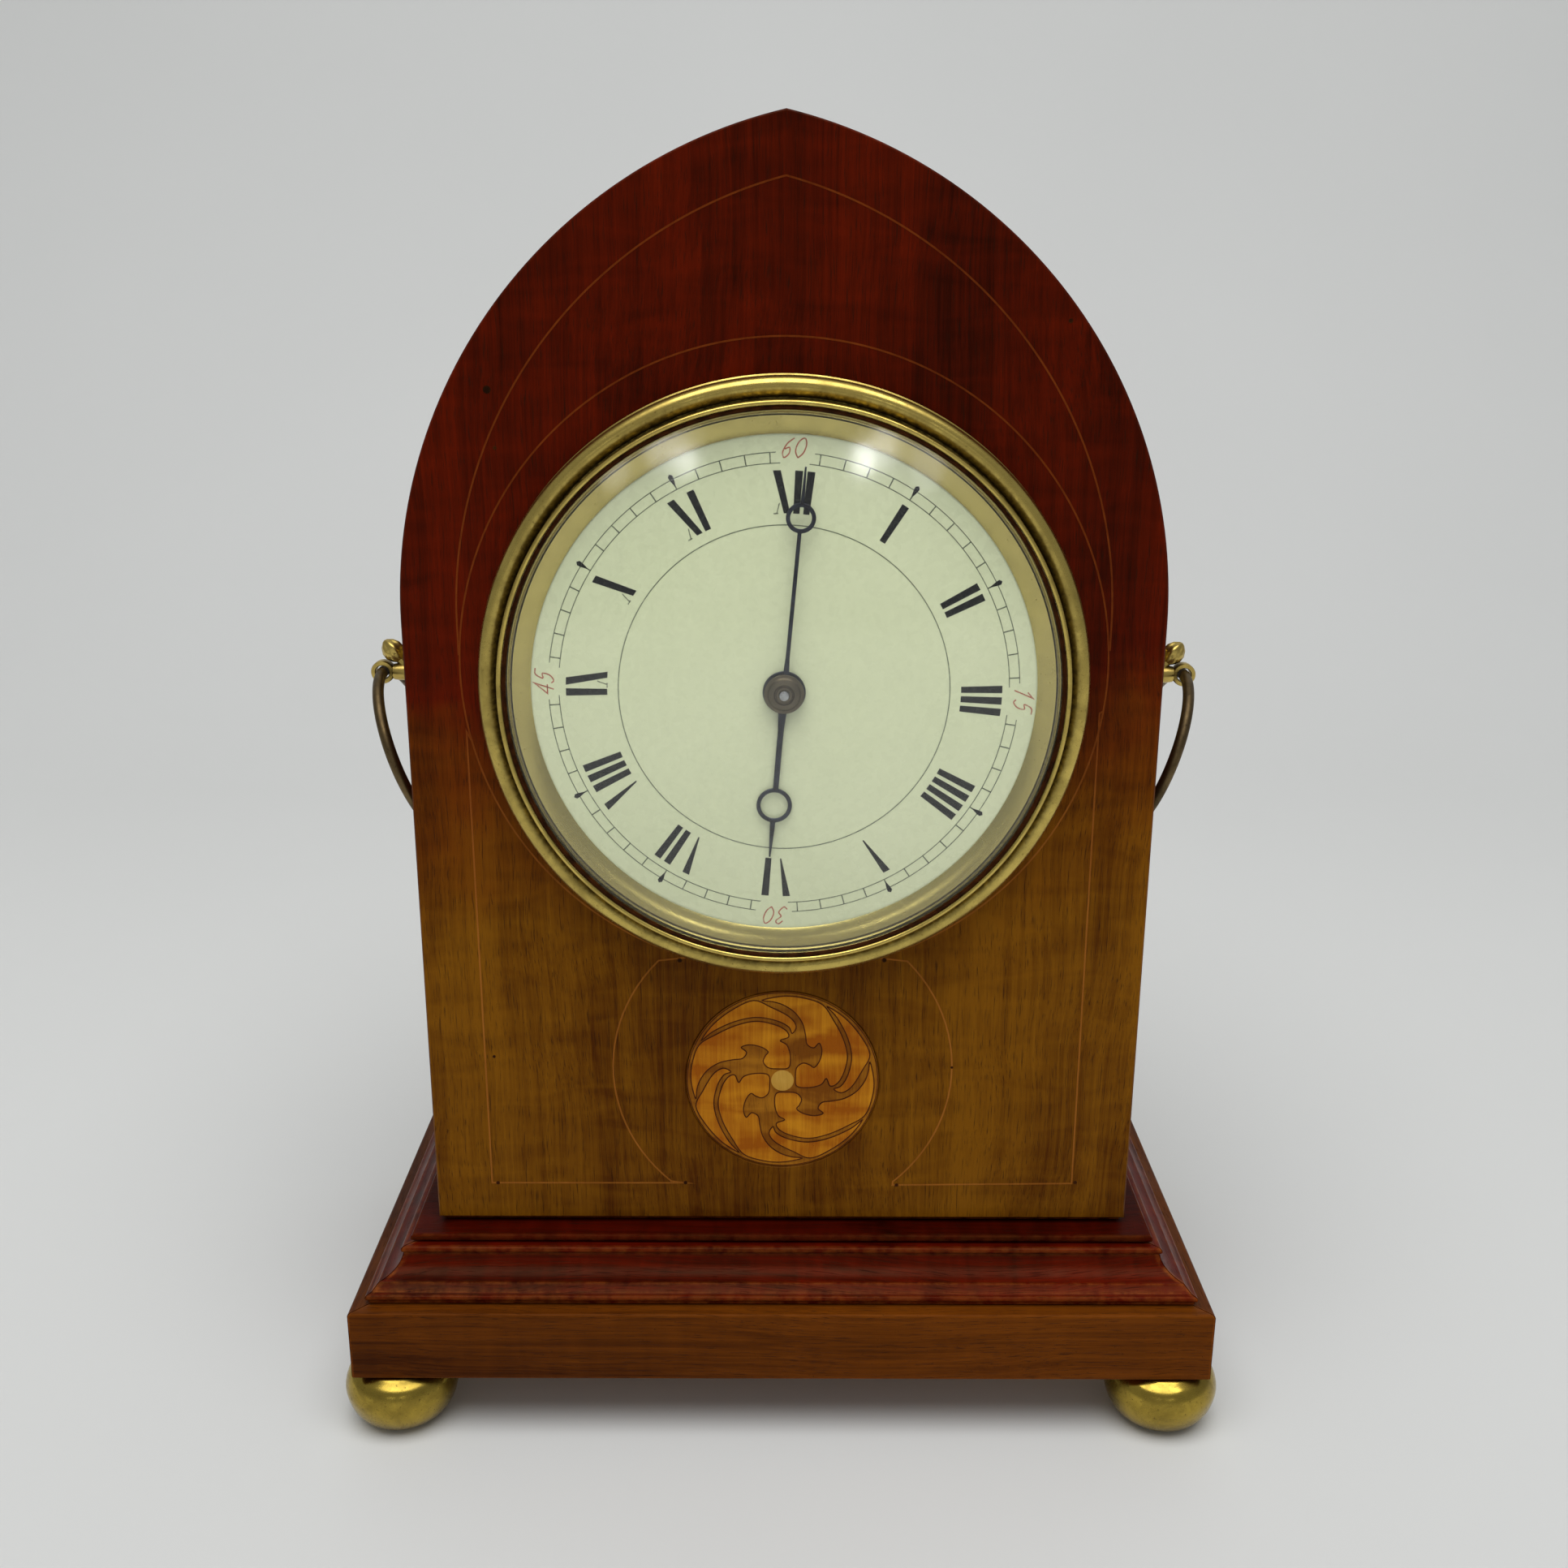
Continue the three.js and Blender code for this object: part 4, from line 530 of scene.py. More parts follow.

# %% [markdown]
# ## The finishes
# The veneer of the front is darker and redder at the top and has faded to a golden brown below, so
# its two grain colours change with height, and so do those of the string inlay; its red at the top is
# also set a little darker as painted shade. The ledge and the moulding stay red, and the plinth is
# browner. French polish is a clear coat over the wood, which is what the Coat inputs are for.

# %% Mahogany
FADE_FROM, FADE_TO = 244, 180
FADE_DRIFT = 96
# The pale colour that edges take: wear on every mahogany piece, and on the moulding, the ledge and the
# plinth also a painted highlight along beads and arrises.
PALE_EDGE_WEAR_AND_HIGHLIGHT = rgb(158, 84, 30)
OLD_WAX = (0.010, 0.004, 0.002, 1)
DIRT = (0.016, 0.006, 0.003, 1)


def mahogany(name, light, dark, stripe=0.4, pores=0.6, curl=0.3, rough=0.28, coat=0.2,
             gloss=0.14, faded=None, wear=0.4, edge=0.0006):
    """Polished wood. The two faded colours, if given, take over towards the base of the clock."""
    material, tree, shader, place = new_material(name)
    grain = put(tree, "Attribute", attribute_name="grain").outputs["Vector"]
    if faded:
        height = put(tree, "SeparateXYZ", {0: place}).outputs["Z"]
        height = weighted(tree, (noise(tree, place, 0.018, 4, 0.6), FADE_DRIFT), start=height)
        share = between(tree, height, FADE_FROM, FADE_TO)
        light = colours(tree, share, light, faded[0])
        dark = colours(tree, share, dark, faded[1])
    wood = shared(tree, WOOD_GRAIN, {"Grain": grain, "Light": light, "Dark": dark,
                                     "Stripe": stripe, "Pores": pores, "Curl": curl})
    age = shared(tree, AGE, {"Place": place, "Edge width": edge, "Hollow size": 0.004})
    # Edges take the pale colour by the wear share: real wear, and where the share is high a painted
    # highlight on beads and arrises.
    worn = colours(tree, 0.6, wood["Color"], PALE_EDGE_WEAR_AND_HIGHLIGHT)
    colour = colours(tree, times(tree, age["Wear"], wear), wood["Color"], worn)
    colour = colours(tree, times(tree, age["Grime"], 0.7), colour, OLD_WAX)
    colour = colours(tree, times(tree, age["Specks"], 0.5), colour, DIRT)
    bloom = between(tree, age["Cloud"], 0.3, 0.7, 0.0, 0.14)
    feed(tree, shader, {
        "Base Color": colour,
        "Roughness": weighted(tree, (wood["Roughness"], 1), (bloom, 1), start=rough),
        "Normal": bumped(tree, wood["Height"], 0.05),
        "Specular IOR Level": gloss,
        "Specular Tint": (1.0, 0.5, 0.22, 1),
        "Coat Weight": between(tree, age["Cloud"], 0.25, 0.75, coat, coat * 0.4),
        "Coat Roughness": 0.16,
        "Coat IOR": 1.35,
    })
    return material


# The two red colours are set a little darker than the wood itself, for light that falls off across the
# upper front: painted shade. The fade to golden brown below is the wood's own colour.
VENEER_FRONT = mahogany(
    "mahogany_front_veneer", rgb(93, 17, 1), rgb(44, 3, 0), stripe=0.68, curl=0.22, coat=0.03,
    gloss=0.12, wear=0.12, faded=(rgb(128, 80, 10), rgb(76, 36, 2)),
)
VENEER_SIDE = mahogany("mahogany_side_veneer", rgb(96, 36, 10), rgb(52, 14, 4), stripe=0.35)
# The moulding, the ledge and the plinth get a high wear share over wide edges, so their pale bead and
# arris lines are partly wear and partly painted highlight.
RED_MAHOGANY = mahogany("mahogany_moulding", rgb(94, 15, 1), rgb(46, 3, 0), stripe=0.6,
                        rough=0.22, coat=0.03, gloss=0.12, wear=1.0, edge=0.0016)
PLINTH_MAHOGANY = mahogany("mahogany_plinth", rgb(110, 56, 8), rgb(56, 21, 2), stripe=0.8,
                           curl=0.08, coat=0.02, gloss=0.1, wear=0.6)
DARK_MAHOGANY = mahogany("mahogany_ledge", rgb(72, 10, 1), rgb(34, 3, 0), stripe=0.5,
                         coat=0.0, gloss=0.06, wear=0.8, edge=0.001)
STRING_WOOD = mahogany("boxwood_string", rgb(116, 48, 12), rgb(86, 32, 6), stripe=0.3, pores=0.2,
                       curl=0.1, coat=0.05, faded=(rgb(156, 96, 32), rgb(122, 70, 18)))
PIN_MARK = mahogany("pin_mark", rgb(34, 12, 4), rgb(16, 5, 2), coat=0.0)
print("mahogany finishes ready")

# %% Brass, steel, enamel and glass
def brass(name, bright=(0.70, 0.52, 0.14, 1), brown=(0.20, 0.13, 0.035, 1), tarnish=0.4,
          polish=0.2, turning=0.0, hollow=0.003, edge=0.0005):
    material, tree, shader, place = new_material(name)
    age = shared(tree, AGE, {"Place": place, "Edge width": edge, "Hollow size": hollow})
    metal = shared(tree, OLD_BRASS, {
        "Place": place, "Grime": times(tree, age["Grime"], 0.8), "Wear": age["Wear"],
        "Bright": bright, "Brown": brown, "Tarnish": tarnish, "Polish": polish,
    })
    rings = shared(tree, TURNING, {"Place": place, "Centre": (0, 0, DIAL_Z), "Fineness": 3.0})
    height = weighted(tree, (rings["Height"], turning), start=metal["Height"])
    feed(tree, shader, {
        "Base Color": metal["Color"],
        "Roughness": weighted(tree, (rings["Sheen"], 0.08 * turning), start=metal["Roughness"]),
        "Metallic": 1.0,
        "Normal": bumped(tree, height, 0.012),
    })
    return material


BEZEL_BRASS = brass("brass_bezel", (0.62, 0.47, 0.12, 1), (0.17, 0.115, 0.028, 1), tarnish=0.7,
                    polish=0.13, turning=0.5, hollow=0.004)
SIGHT_BRASS = brass("brass_sight_ring", (0.58, 0.48, 0.16, 1), (0.32, 0.26, 0.08, 1),
                    tarnish=0.35, polish=0.1, turning=0.5)
FOOT_BRASS = brass("brass_feet", (0.44, 0.31, 0.05, 1), (0.11, 0.075, 0.018, 1), tarnish=0.8,
                   polish=0.12)
HANDLE_BRASS = brass("brass_handle_mounts", (0.60, 0.44, 0.12, 1), tarnish=0.7, hollow=0.002)
RING_BRASS = brass("brass_hanging_rings", (0.16, 0.11, 0.05, 1), (0.035, 0.024, 0.014, 1),
                   tarnish=0.9, polish=0.3, hollow=0.002)
PLATE_BRASS = brass("brass_movement", (0.76, 0.58, 0.20, 1), tarnish=0.25, polish=0.24,
                    turning=0.4, hollow=0.002, edge=0.0003)
COLLET_BRASS = brass("brass_collet", (0.14, 0.115, 0.075, 1), (0.06, 0.045, 0.028, 1),
                     tarnish=0.7, polish=0.24, hollow=0.001, edge=0.0003)
DOOR_BRASS = brass("brass_back_door", tarnish=0.28, turning=0.9, hollow=0.002)


def steel(name, pale, dark, polish=0.22, spot=0.5):
    material, tree, shader, place = new_material(name)
    age = shared(tree, AGE, {"Place": place, "Edge width": 0.0002, "Hollow size": 0.001})
    tone = between(tree, noise(tree, place, 0.25, 4, 0.6), 0.35, 0.65)
    rust = times(tree, between(tree, noise(tree, place, 1.4, 3), 0.6, 0.75), spot)
    colour = colours(tree, rust, colours(tree, tone, dark, pale), (0.06, 0.028, 0.014, 1))
    colour = colours(tree, times(tree, age["Grime"], 0.6), colour, (0.02, 0.014, 0.01, 1))
    strokes = stretched(tree, place, (6, 6, 0.5), 3, 0.7)
    feed(tree, shader, {
        "Base Color": colour,
        "Roughness": weighted(tree, (rust, 0.4), (strokes, 0.15), start=polish),
        "Metallic": 1.0,
        "Normal": bumped(tree, strokes, 0.006),
    })
    return material


STEEL = steel("polished_steel", (0.52, 0.53, 0.54, 1), (0.36, 0.36, 0.37, 1))
BLUED_STEEL = steel("blued_steel", (0.050, 0.056, 0.075, 1), (0.020, 0.022, 0.030, 1),
                    polish=0.32, spot=0.7)


def enamel():
    """White enamel that has gone cream: glossy, a little wavy, with grey bloom and tiny pits."""
    material, tree, shader, place = new_material("cream_enamel")
    cloud = between(tree, noise(tree, place, 0.02, 2, 0.5), 0.3, 0.7)
    colour = colours(tree, cloud, rgb(222, 228, 186), rgb(230, 235, 195))
    pits = between(tree, noise(tree, place, 2.2, 2, 0.5), 0.74, 0.8)
    colour = colours(tree, times(tree, pits, 0.5), colour, rgb(150, 136, 104))
    feed(tree, shader, {
        "Base Color": colour,
        "Roughness": between(tree, noise(tree, place, 0.4, 3), 0.3, 0.7, 0.22, 0.34),
        "Normal": bumped(tree, noise(tree, place, 0.12, 2), 0.06),
        "Coat Weight": between(tree, pits, 0, 1, 0.8, 0.2),
        "Coat Roughness": 0.05,
    })
    return material


def paint(name, colour, thin):
    """Printing on the enamel, worn thin in places."""
    material, tree, shader, place = new_material(name)
    worn = between(tree, noise(tree, place, 1.1, 4, 0.65), 0.5, 0.72)
    feed(tree, shader, {
        "Base Color": colours(tree, times(tree, worn, thin), colour, rgb(206, 212, 175)),
        "Roughness": between(tree, worn, 0, 1, 0.35, 0.55),
        "Specular IOR Level": 0.15,
    })
    return material


def window_glass():
    """Clear glass. Light from the lamps goes straight through it, so that the dial isn't in shade."""
    material, tree, shader, place = new_material("convex_glass")
    feed(tree, shader, {
        "Base Color": (0.99, 1.0, 0.99, 1),
        "Roughness": between(tree, noise(tree, place, 0.07, 4, 0.6), 0.45, 0.8, 0.07, 0.12),
        "Transmission Weight": 1.0,
        "IOR": 1.46,
        "Normal": bumped(tree, noise(tree, place, 0.05, 2), 0.02),
    })
    through = put(tree, "BsdfTransparent", {"Color": (0.97, 0.98, 0.97, 1)})
    shadow_ray = put(tree, "LightPath").outputs["Is Shadow Ray"]
    glass = tree.nodes["Principled BSDF"].outputs[0]
    mix = put(tree, "MixShader", {0: shadow_ray, 1: glass, 2: through.outputs[0]})
    feed(tree, tree.nodes["Material Output"].inputs, {"Surface": mix.outputs[0]})
    return material


ENAMEL = enamel()
DIAL_BLACK = paint("dial_black", rgb(5, 6, 6), 0.06)
DIAL_TRACK = paint("dial_track", rgb(88, 96, 74), 0.45)
DIAL_HAIRLINE = paint("dial_hairline", rgb(104, 110, 86), 0.7)
DIAL_RED = paint("dial_red", rgb(178, 96, 74), 0.6)
GLASS = window_glass()
print("metal, enamel and glass finishes ready")

# %% [markdown]
# ## The front of the case
# The front is a pointed arch, the outline that gives this pattern of clock its name. Two arcs of the
# same radius cross at the top. The same function, asked for a smaller outline, also draws the line
# of inlay that runs inside the edge. A thin strip of the dark ledge wood, set back under the veneer,
# makes the line of shade between the case and the ledge: real shade from the step, deepened by
# painted shade in its dark wood.

# %% The front veneer
HALF = 90.0
SPRINGING = 210.0
ARC_OFFSET = 25.0
PATERA_Z = 91.6
CASE_BOTTOM = 50.6
REBATE = 1.2


def lancet(inwards, bottom):
    half = HALF - inwards
    radius = half + ARC_OFFSET
    top = math.degrees(math.acos(ARC_OFFSET / radius))
    right = arc(-ARC_OFFSET, SPRINGING, radius, 0, top, 56)
    left = arc(ARC_OFFSET, SPRINGING, radius, 180 - top, 180, 56)
    return [(-half, bottom), (half, bottom)] + right + left[1:]


def upright(x, y, z):
    """Grain that runs up the board."""
    return (x, y, z)


def crosswise(x, y, z):
    """Grain that runs from side to side."""
    return (y, z, x)


front_panel = add_piece(
    "front_veneer",
    slab(lancet(0, CASE_BOTTOM + REBATE), 0, 10,
         [circle(0, DIAL_Z, 67.8, 120), circle(0, PATERA_Z, 24.75, 96)], arris=0.35),
    "case", VENEER_FRONT, ["front_panel"], grain=upright,
)
# A strip of the dark ledge wood set back under the veneer; its dark colour is painted shade for the gap
# under the case.
add_piece(
    "front_bottom_shade_strip",
    slab(oblong(-89, CASE_BOTTOM, 89, CASE_BOTTOM + REBATE + 0.1), 1.6, 10),
    "case", DARK_MAHOGANY, grain=crosswise,
)
print("front veneer:", len(front_panel.data.polygons), "faces")

# %% [markdown]
# ## The bent sides
# Each side is one board bent round the arch, with its veneer running along it. Its section, a long
# rectangle with a small arris, is carried up the straight part and round the arc, and each point
# remembers how far along the board it is, so the grain bends with the wood. A dark line of glue
# fills the joint where the two sides meet at the top.

# %% The bent sides
BACK = 112.0


def bent_side(side):
    wall, radius, joint, arris = 8.0, HALF + ARC_OFFSET, 0.15, 0.35
    section = [(arris, 10.3), (0, 10.3 + arris), (0, 61), (0, BACK - arris), (arris, BACK),
               (wall, BACK), (wall, 10.3)]
    outer_end = math.degrees(math.acos((ARC_OFFSET + joint) / radius))
    inner_end = math.degrees(math.acos((ARC_OFFSET + joint) / (radius - wall)))
    rows = []
    for i in range(9):
        z = CASE_BOTTOM + (SPRINGING - CASE_BOTTOM) * i / 8
        rows.append([(side * (HALF - d), y, z) for d, y in section])
    for i in range(1, 57):
        row = []
        for d, y in section:
            end = outer_end + (inner_end - outer_end) * d / wall
            a = math.radians(end * i / 56)
            r = radius - d
            row.append((side * (r * math.cos(a) - ARC_OFFSET), y, SPRINGING + r * math.sin(a)))
        rows.append(row)
    return bar(rows)


def along_side(x, y, z):
    if z < SPRINGING:
        return (HALF - abs(x), y, z)
    a = math.atan2(z - SPRINGING, abs(x) + ARC_OFFSET)
    across = math.hypot(z - SPRINGING, abs(x) + ARC_OFFSET)
    return (HALF + ARC_OFFSET - across, y, SPRINGING + (HALF + ARC_OFFSET) * a)


for side, word in SIDES:
    add_piece(f"bent_side_{word}", bent_side(side), "case", VENEER_SIDE,
              [f"case_side_{word}"], grain=along_side)

apex = SPRINGING + math.sqrt((HALF + ARC_OFFSET) ** 2 - ARC_OFFSET ** 2)
glue = slab(oblong(-0.2, apex - 8.0, 0.2, apex - 0.15), 10.4, BACK - 0.2)
add_piece("apex_glue_line", glue, "case", DARK_MAHOGANY, grain=upright)
add_piece(
    "back_board", slab(lancet(8.3, 59.2), BACK - 8, BACK, [circle(0, DIAL_Z, 54, 96)], arris=0.3),
    "case", DARK_MAHOGANY, ["back_panel"], grain=upright,
)
print("sides and back board made")

# %% [markdown]
# ## The string inlay
# A string is a thin strip of pale wood, here less than half a millimetre wide, glued into a groove
# and scraped flush. Each is a flat line let into the veneer. One follows the arch and meets the round
# one beside the dial; two more frame the panels below, and bend round the patera.

# %% The string inlay
STRING_WIDTH = 0.42
STRING_CENTRE_Z, STRING_RADIUS = 198.4, 76.7


def string(path, front=-0.04, closed=True):
    return line(path, STRING_WIDTH, front, closed=closed)


def string_panel(side, places):
    bottom, lower, upper, top = places
    patera = arc(0, PATERA_Z + 3, 43.2, *((-48, 44) if side > 0 else (228, 136)), 24)
    dial = arc(0, STRING_CENTRE_Z, STRING_RADIUS, *((-71.4, -7) if side > 0 else (251.4, 193)), 40)
    return [top, (side * 75.6, bottom), lower] + patera + [upper] + dial


STRINGS = [
    string([(76.8, 203.8)] + lancet(13.2, 195)[2:] + [(-76.8, 202.2)], closed=False),
    string(circle(0, STRING_CENTRE_Z, STRING_RADIUS, 160), -0.045),
]
for side, places in (
    (-1, (61.9, (-25.5, 62.0), (-24.5, 125.4), (-75.9, 183.5))),
    (1, (62.1, (28.8, 61.5), (24.5, 125.4), (75.3, 188.6))),
):
    STRINGS.append(string(string_panel(side, places)))
strings = add_piece("string_inlay", together(*STRINGS), "case", STRING_WOOD,
                    grain=upright)
print("string inlay:", len(strings.data.polygons), "faces")

# %% [markdown]
# Small dark dots stand where the veneer pins were, mostly at the ends and corners of the strings.
# Each is a flat disc of a slightly different size, let into the surface like the strings.

# %% The veneer pins
PINS = [(-67.2, 263.2, 0.9), (-66.0, 250.3, 0.45), (63.5, 278.6, 0.5), (-25.8, 124.7, 0.6),
        (25.3, 124.9, 0.6), (-73.4, 98.1, 0.4), (43.2, 95.4, 0.35), (-74.1, 61.9, 0.5),
        (-25.2, 62.1, 0.5), (29.9, 61.5, 0.5), (76.5, 62.4, 0.5)]
dots = [slab(circle(x, z, r, 14), -0.055, 0.1) for x, z, r in PINS]
add_piece("veneer_pins", together(*dots), "case", PIN_MARK, grain=upright)
print("veneer pins:", len(dots))

# %% [markdown]
# ## Ledge, mouldings and plinth
# Under the case lies a thin board with a rounded edge, then a hollow moulding between two beads, then
# a plain block. A joiner runs each shape along a length of wood and mitres the front corners, and the
# mesh is made the same way: one section, carried from mitre to mitre.

# %% The base
MITRE = 0.15 * math.sqrt(2)


def run_front(section):
    """The section carried across the front, between its two mitres."""
    ends = [[(s * (HALF + out - MITRE), -out, z) for out, z in section] for s in (-1, 1)]
    middle = [[(x, -out, z) for out, z in section] for x in (-60, -30, 0, 30, 60)]
    return bar([ends[0]] + middle + [ends[1]])


def run_side(section, side):
    """The section carried along one side, from its mitre to the back."""
    rows = [[(side * (HALF + out), -out + MITRE, z) for out, z in section]]
    rows += [[(side * (HALF + out), y, z) for out, z in section] for y in (20, 50, 80, BACK)]
    return bar(rows)


MOULDING = (
    [(-6, 36.4), (15.7, 36.4), (15.9, 36.6), (15.9, 37.5)]
    + arc(15.8, 38.1, 0.75, -60, 85, 10)
    + [(15.15, 39.1)]
    + arc(14.4, 47.4, 6.5, 262, 180, 20)
    + arc(7.7, 47.1, 0.88, -60, 90, 10)
    + [(-6, 47.95)]
)
PLINTH = [(10.3, 17.0), (19.9, 17.0), (20.3, 17.4)] + arc(19.5, 35.3, 0.8, 0, 90, 8) + [(10.3, 36.1)]
for name, section, finish, grain_front, grain_side in (
    ("moulding", MOULDING, RED_MAHOGANY, crosswise, lambda x, y, z: (x, z, y)),
    ("plinth", PLINTH, PLINTH_MAHOGANY, lambda x, y, z: (z, y, x), lambda x, y, z: (z, x, y)),
):
    add_piece(f"{name}_run_front", run_front(section), "case", finish,
              [f"{name}_front"], grain=grain_front)
    for side, word in SIDES:
        add_piece(f"{name}_run_{word}", run_side(section, side), "case", finish,
                  [f"{name}_{word}"], grain=grain_side)


def rounded_board(half, front, back, low, high):
    """A board with a half-round edge, as loops laid one above the other."""
    middle = (low + high) / 2
    rows = []
    for i in range(13):
        a = math.radians(-90 + 15 * i)
        d = 1 - math.cos(a)
        z = middle + (high - low) / 2 * math.sin(a)
        x, f, b = half - d, front + d, back - d * 0.3
        rows.append([(-x, f, z), (-x / 3, f, z), (x / 3, f, z), (x, f, z), (x, b, z), (-x, b, z)])
    return bar(rows)


add_piece("ledge", rounded_board(96.3, -6.3, BACK, 48.3, 50.3), "case",
          DARK_MAHOGANY, ["ledge_board"], grain=crosswise)
print("base pieces:", sum(1 for n in made if "run" in n or n == "ledge"))

# %% [markdown]
# ## The bun feet
# Four cast brass feet, turned to a flattened ball. A few points down the profile are joined by a
# smooth curve and spun round; the flat top meets the block.

# %% The feet
FOOT = (
    [(0, 0), (6, 0)]
    + eased([(6.4, 0.05), (10.2, 1.3), (13.1, 4.6), (14.5, 9.0), (14.2, 12.2), (12.9, 14.8),
             (10.6, 16.3)], 5)
    + [(10.0, 16.7), (0, 16.7)]
)
for end, y in (("front", -10.0), ("back", 101.7)):
    for side, word in SIDES:
        bun = turned(FOOT, (side * 100.0, y), "Z", 64, closed=False)
        add_piece(f"bun_foot_{end}_{word}", bun, "case", FOOT_BRASS,
                  [f"foot_{end}_{word}"])
print("feet made")

# %% [markdown]
# ## Bezel, sight ring and glass
# The bezel is one ring with several shapes in its profile: a thin lip on the wood, a broad half round,
# a deep groove that reads as a black line, and a fine bead that holds the glass. A thin dark ring lies
# where the glass meets the bead. Inside it a polished ring steps down to the dial, and mirrors it.

# %% Bezel, sight ring and glass
CENTRE = (0.0, DIAL_Z)
BEZEL = (
    [(65.7, 3.5), (67.5, 3.5), (67.5, -0.3), (71.5, -0.3), (71.7, -0.5), (71.7, -1.3),
     (71.4, -1.6)]
    + arc(69.15, -6.0, 2.3, 0, -180, 28)
    + [(66.85, -5.0), (66.5, -5.0), (66.5, -10.6)]
    + arc(65.9, -10.6, 0.6, 0, -180, 12)
    + [(65.3, -9.4), (65.7, -9.4)]
)
add_piece("bezel_ring", turned(BEZEL, CENTRE, steps=192), "case", BEZEL_BRASS, ["bezel"])
SIGHT = [(65.4, -6.9), (65.4, -8.4), (64.8, -8.7), (63.9, -8.65), (63.6, -8.3), (63.3, -8.3),
         (63.0, -8.5), (61.7, -8.25), (60.3, -7.75), (59.3, -7.2), (58.9, -6.9)]
add_piece("sight_ring_polished", turned(SIGHT, CENTRE, steps=192), "case", SIGHT_BRASS,
          ["sight_ring"])
GLASS_EDGE, GLASS_RISE = 65.1, 5.7


def dome(y, radii):
    return [(r, y - GLASS_RISE * (1 - (r / GLASS_EDGE) ** 2)) for r in radii]


RADII = [GLASS_EDGE * i / 16 for i in range(17)]
crystal = turned(dome(-10.2, RADII) + dome(-8.9, RADII[::-1]), CENTRE, steps=160, closed=False)
add_piece("convex_crystal", crystal, "case", GLASS, ["crystal"])
# A thin dark ring where the glass meets the bead.
GLASS_EDGE_RING = [(65.25, -10.35), (65.25, -10.75), (64.75, -10.85), (64.35, -10.6), (64.3, -10.4)]
add_piece("glass_wax_line", turned(GLASS_EDGE_RING, CENTRE, steps=160), "case", PIN_MARK)
print("bezel", round(made["bezel_ring"].dimensions.x / MM, 1), "mm across")

# %% [markdown]
# ## The enamel dial
# The dial is a copper disc with fired enamel, very slightly domed at its edge. The printing is fired
# on top of it: radial Roman numerals with four written IIII, a track of minutes between two thin
# circles, a small lozenge at each fifth minute and the quarters in red italic figures. The numerals
# are drawn from strokes in a polar grid, so that each stroke points at the middle of the dial. Their
# thin strokes have worn away, and only the foot of each is left.

# %% The enamel disc
DIAL_TURN = 2.4
DIAL_FACE = -6.6
QUARTERS = (0, 90, 180, 270)
disc = [(4, -5.3), (4, DIAL_FACE + 0.25), (4.3, DIAL_FACE), (59.5, DIAL_FACE),
        (60.6, DIAL_FACE + 0.15), (61.3, DIAL_FACE + 0.6), (61.5, -5.3)]
add_piece("enamel_disc", turned(disc, CENTRE, steps=160), "case", ENAMEL, ["enamel_dial"])


def swung(x, z, degrees, centre=CENTRE):
    """The point (x, z) swung clockwise about nought, then moved to the centre."""
    a = math.radians(degrees)
    return (centre[0] + x * math.cos(a) + z * math.sin(a),
            centre[1] - x * math.sin(a) + z * math.cos(a))


def on_dial(radius, degrees):
    """A place on the dial, clockwise from its XII."""
    return swung(0, radius, degrees + DIAL_TURN)


def printed(polygon):
    return slab(polygon, DIAL_FACE - 0.03, DIAL_FACE + 0.05)


def penned(path, width, closed=False):
    return line(path, width, DIAL_FACE - 0.03, closed, depth=0.05)


def ring_line(radius, width, gap):
    """A printed circle, broken near each quarter by that many degrees on both sides."""
    arcs = []
    for quarter in QUARTERS:
        start, end = quarter + gap, quarter + 90 - gap
        path = [on_dial(radius, start + (end - start) * i / 44) for i in range(45)]
        arcs.append(penned(path, width))
    return together(*arcs)


print("enamel", round(made["enamel_disc"].dimensions.x / MM, 1), "mm across")

# %% The Roman numerals
LOW, HIGH = 41.2, 50.8
THICK, HAIR = 1.6, 0.28
WIDTHS = {"I": 2.5, "V": 4.2, "X": 4.4}


def stroke(u0, u1, foot, head):
    """A stroke from u0 at the foot to u1 at the head, as a polygon in the numeral's own grid."""
    return [(u0 - foot / 2, LOW), (u0 + foot / 2, LOW),
            (u1 + head / 2, HIGH), (u1 - head / 2, HIGH)]


def worn_foot(u):
    """What is left of a thin stroke: its last two millimetres and the serif under it."""
    h = HAIR / 2
    slant = [(u - h, LOW), (u + h, LOW), (u + 0.75 + h, LOW + 2.3), (u + 0.75 - h, LOW + 2.3)]
    return [slant, oblong(u - 0.8, LOW - h, u + 0.4, LOW + h)]


def letter(kind, u):
    """The thick strokes and the thin ones of I, V or X, about a middle at u."""
    if kind == "I":
        return [stroke(u, u, THICK, THICK)], []
    if kind == "V":
        return [stroke(u + 0.1, u - 1.35, 0.35, THICK)], []
    return [stroke(u + 1.1, u - 1.1, THICK, THICK)], worn_foot(u - 1.5)


def numeral(text, degrees):
    u = -sum(WIDTHS[kind] for kind in text) / 2
    thick, thin = [], []
    for kind in text:
        bold, fine = letter(kind, u + WIDTHS[kind] / 2)
        thick += bold
        thin += fine
        u += WIDTHS[kind]

    def bend(polygon):
        return printed([on_dial(v, degrees + math.degrees(s / 46)) for s, v in polygon])

    return [bend(p) for p in thick], [bend(p) for p in thin]


HOURS = ["XII", "I", "II", "III", "IIII", "V", "VI", "VII", "VIII", "IX", "X", "XI"]
bold_shapes, fine_shapes = [], []
for place, text in enumerate(HOURS):
    bold, fine = numeral(text, 30 * place)
    bold_shapes += bold
    fine_shapes += fine
add_piece("dial_numerals", together(*bold_shapes), "case", DIAL_BLACK)
print("numeral strokes:", len(bold_shapes), "thick and", len(fine_shapes), "thin")

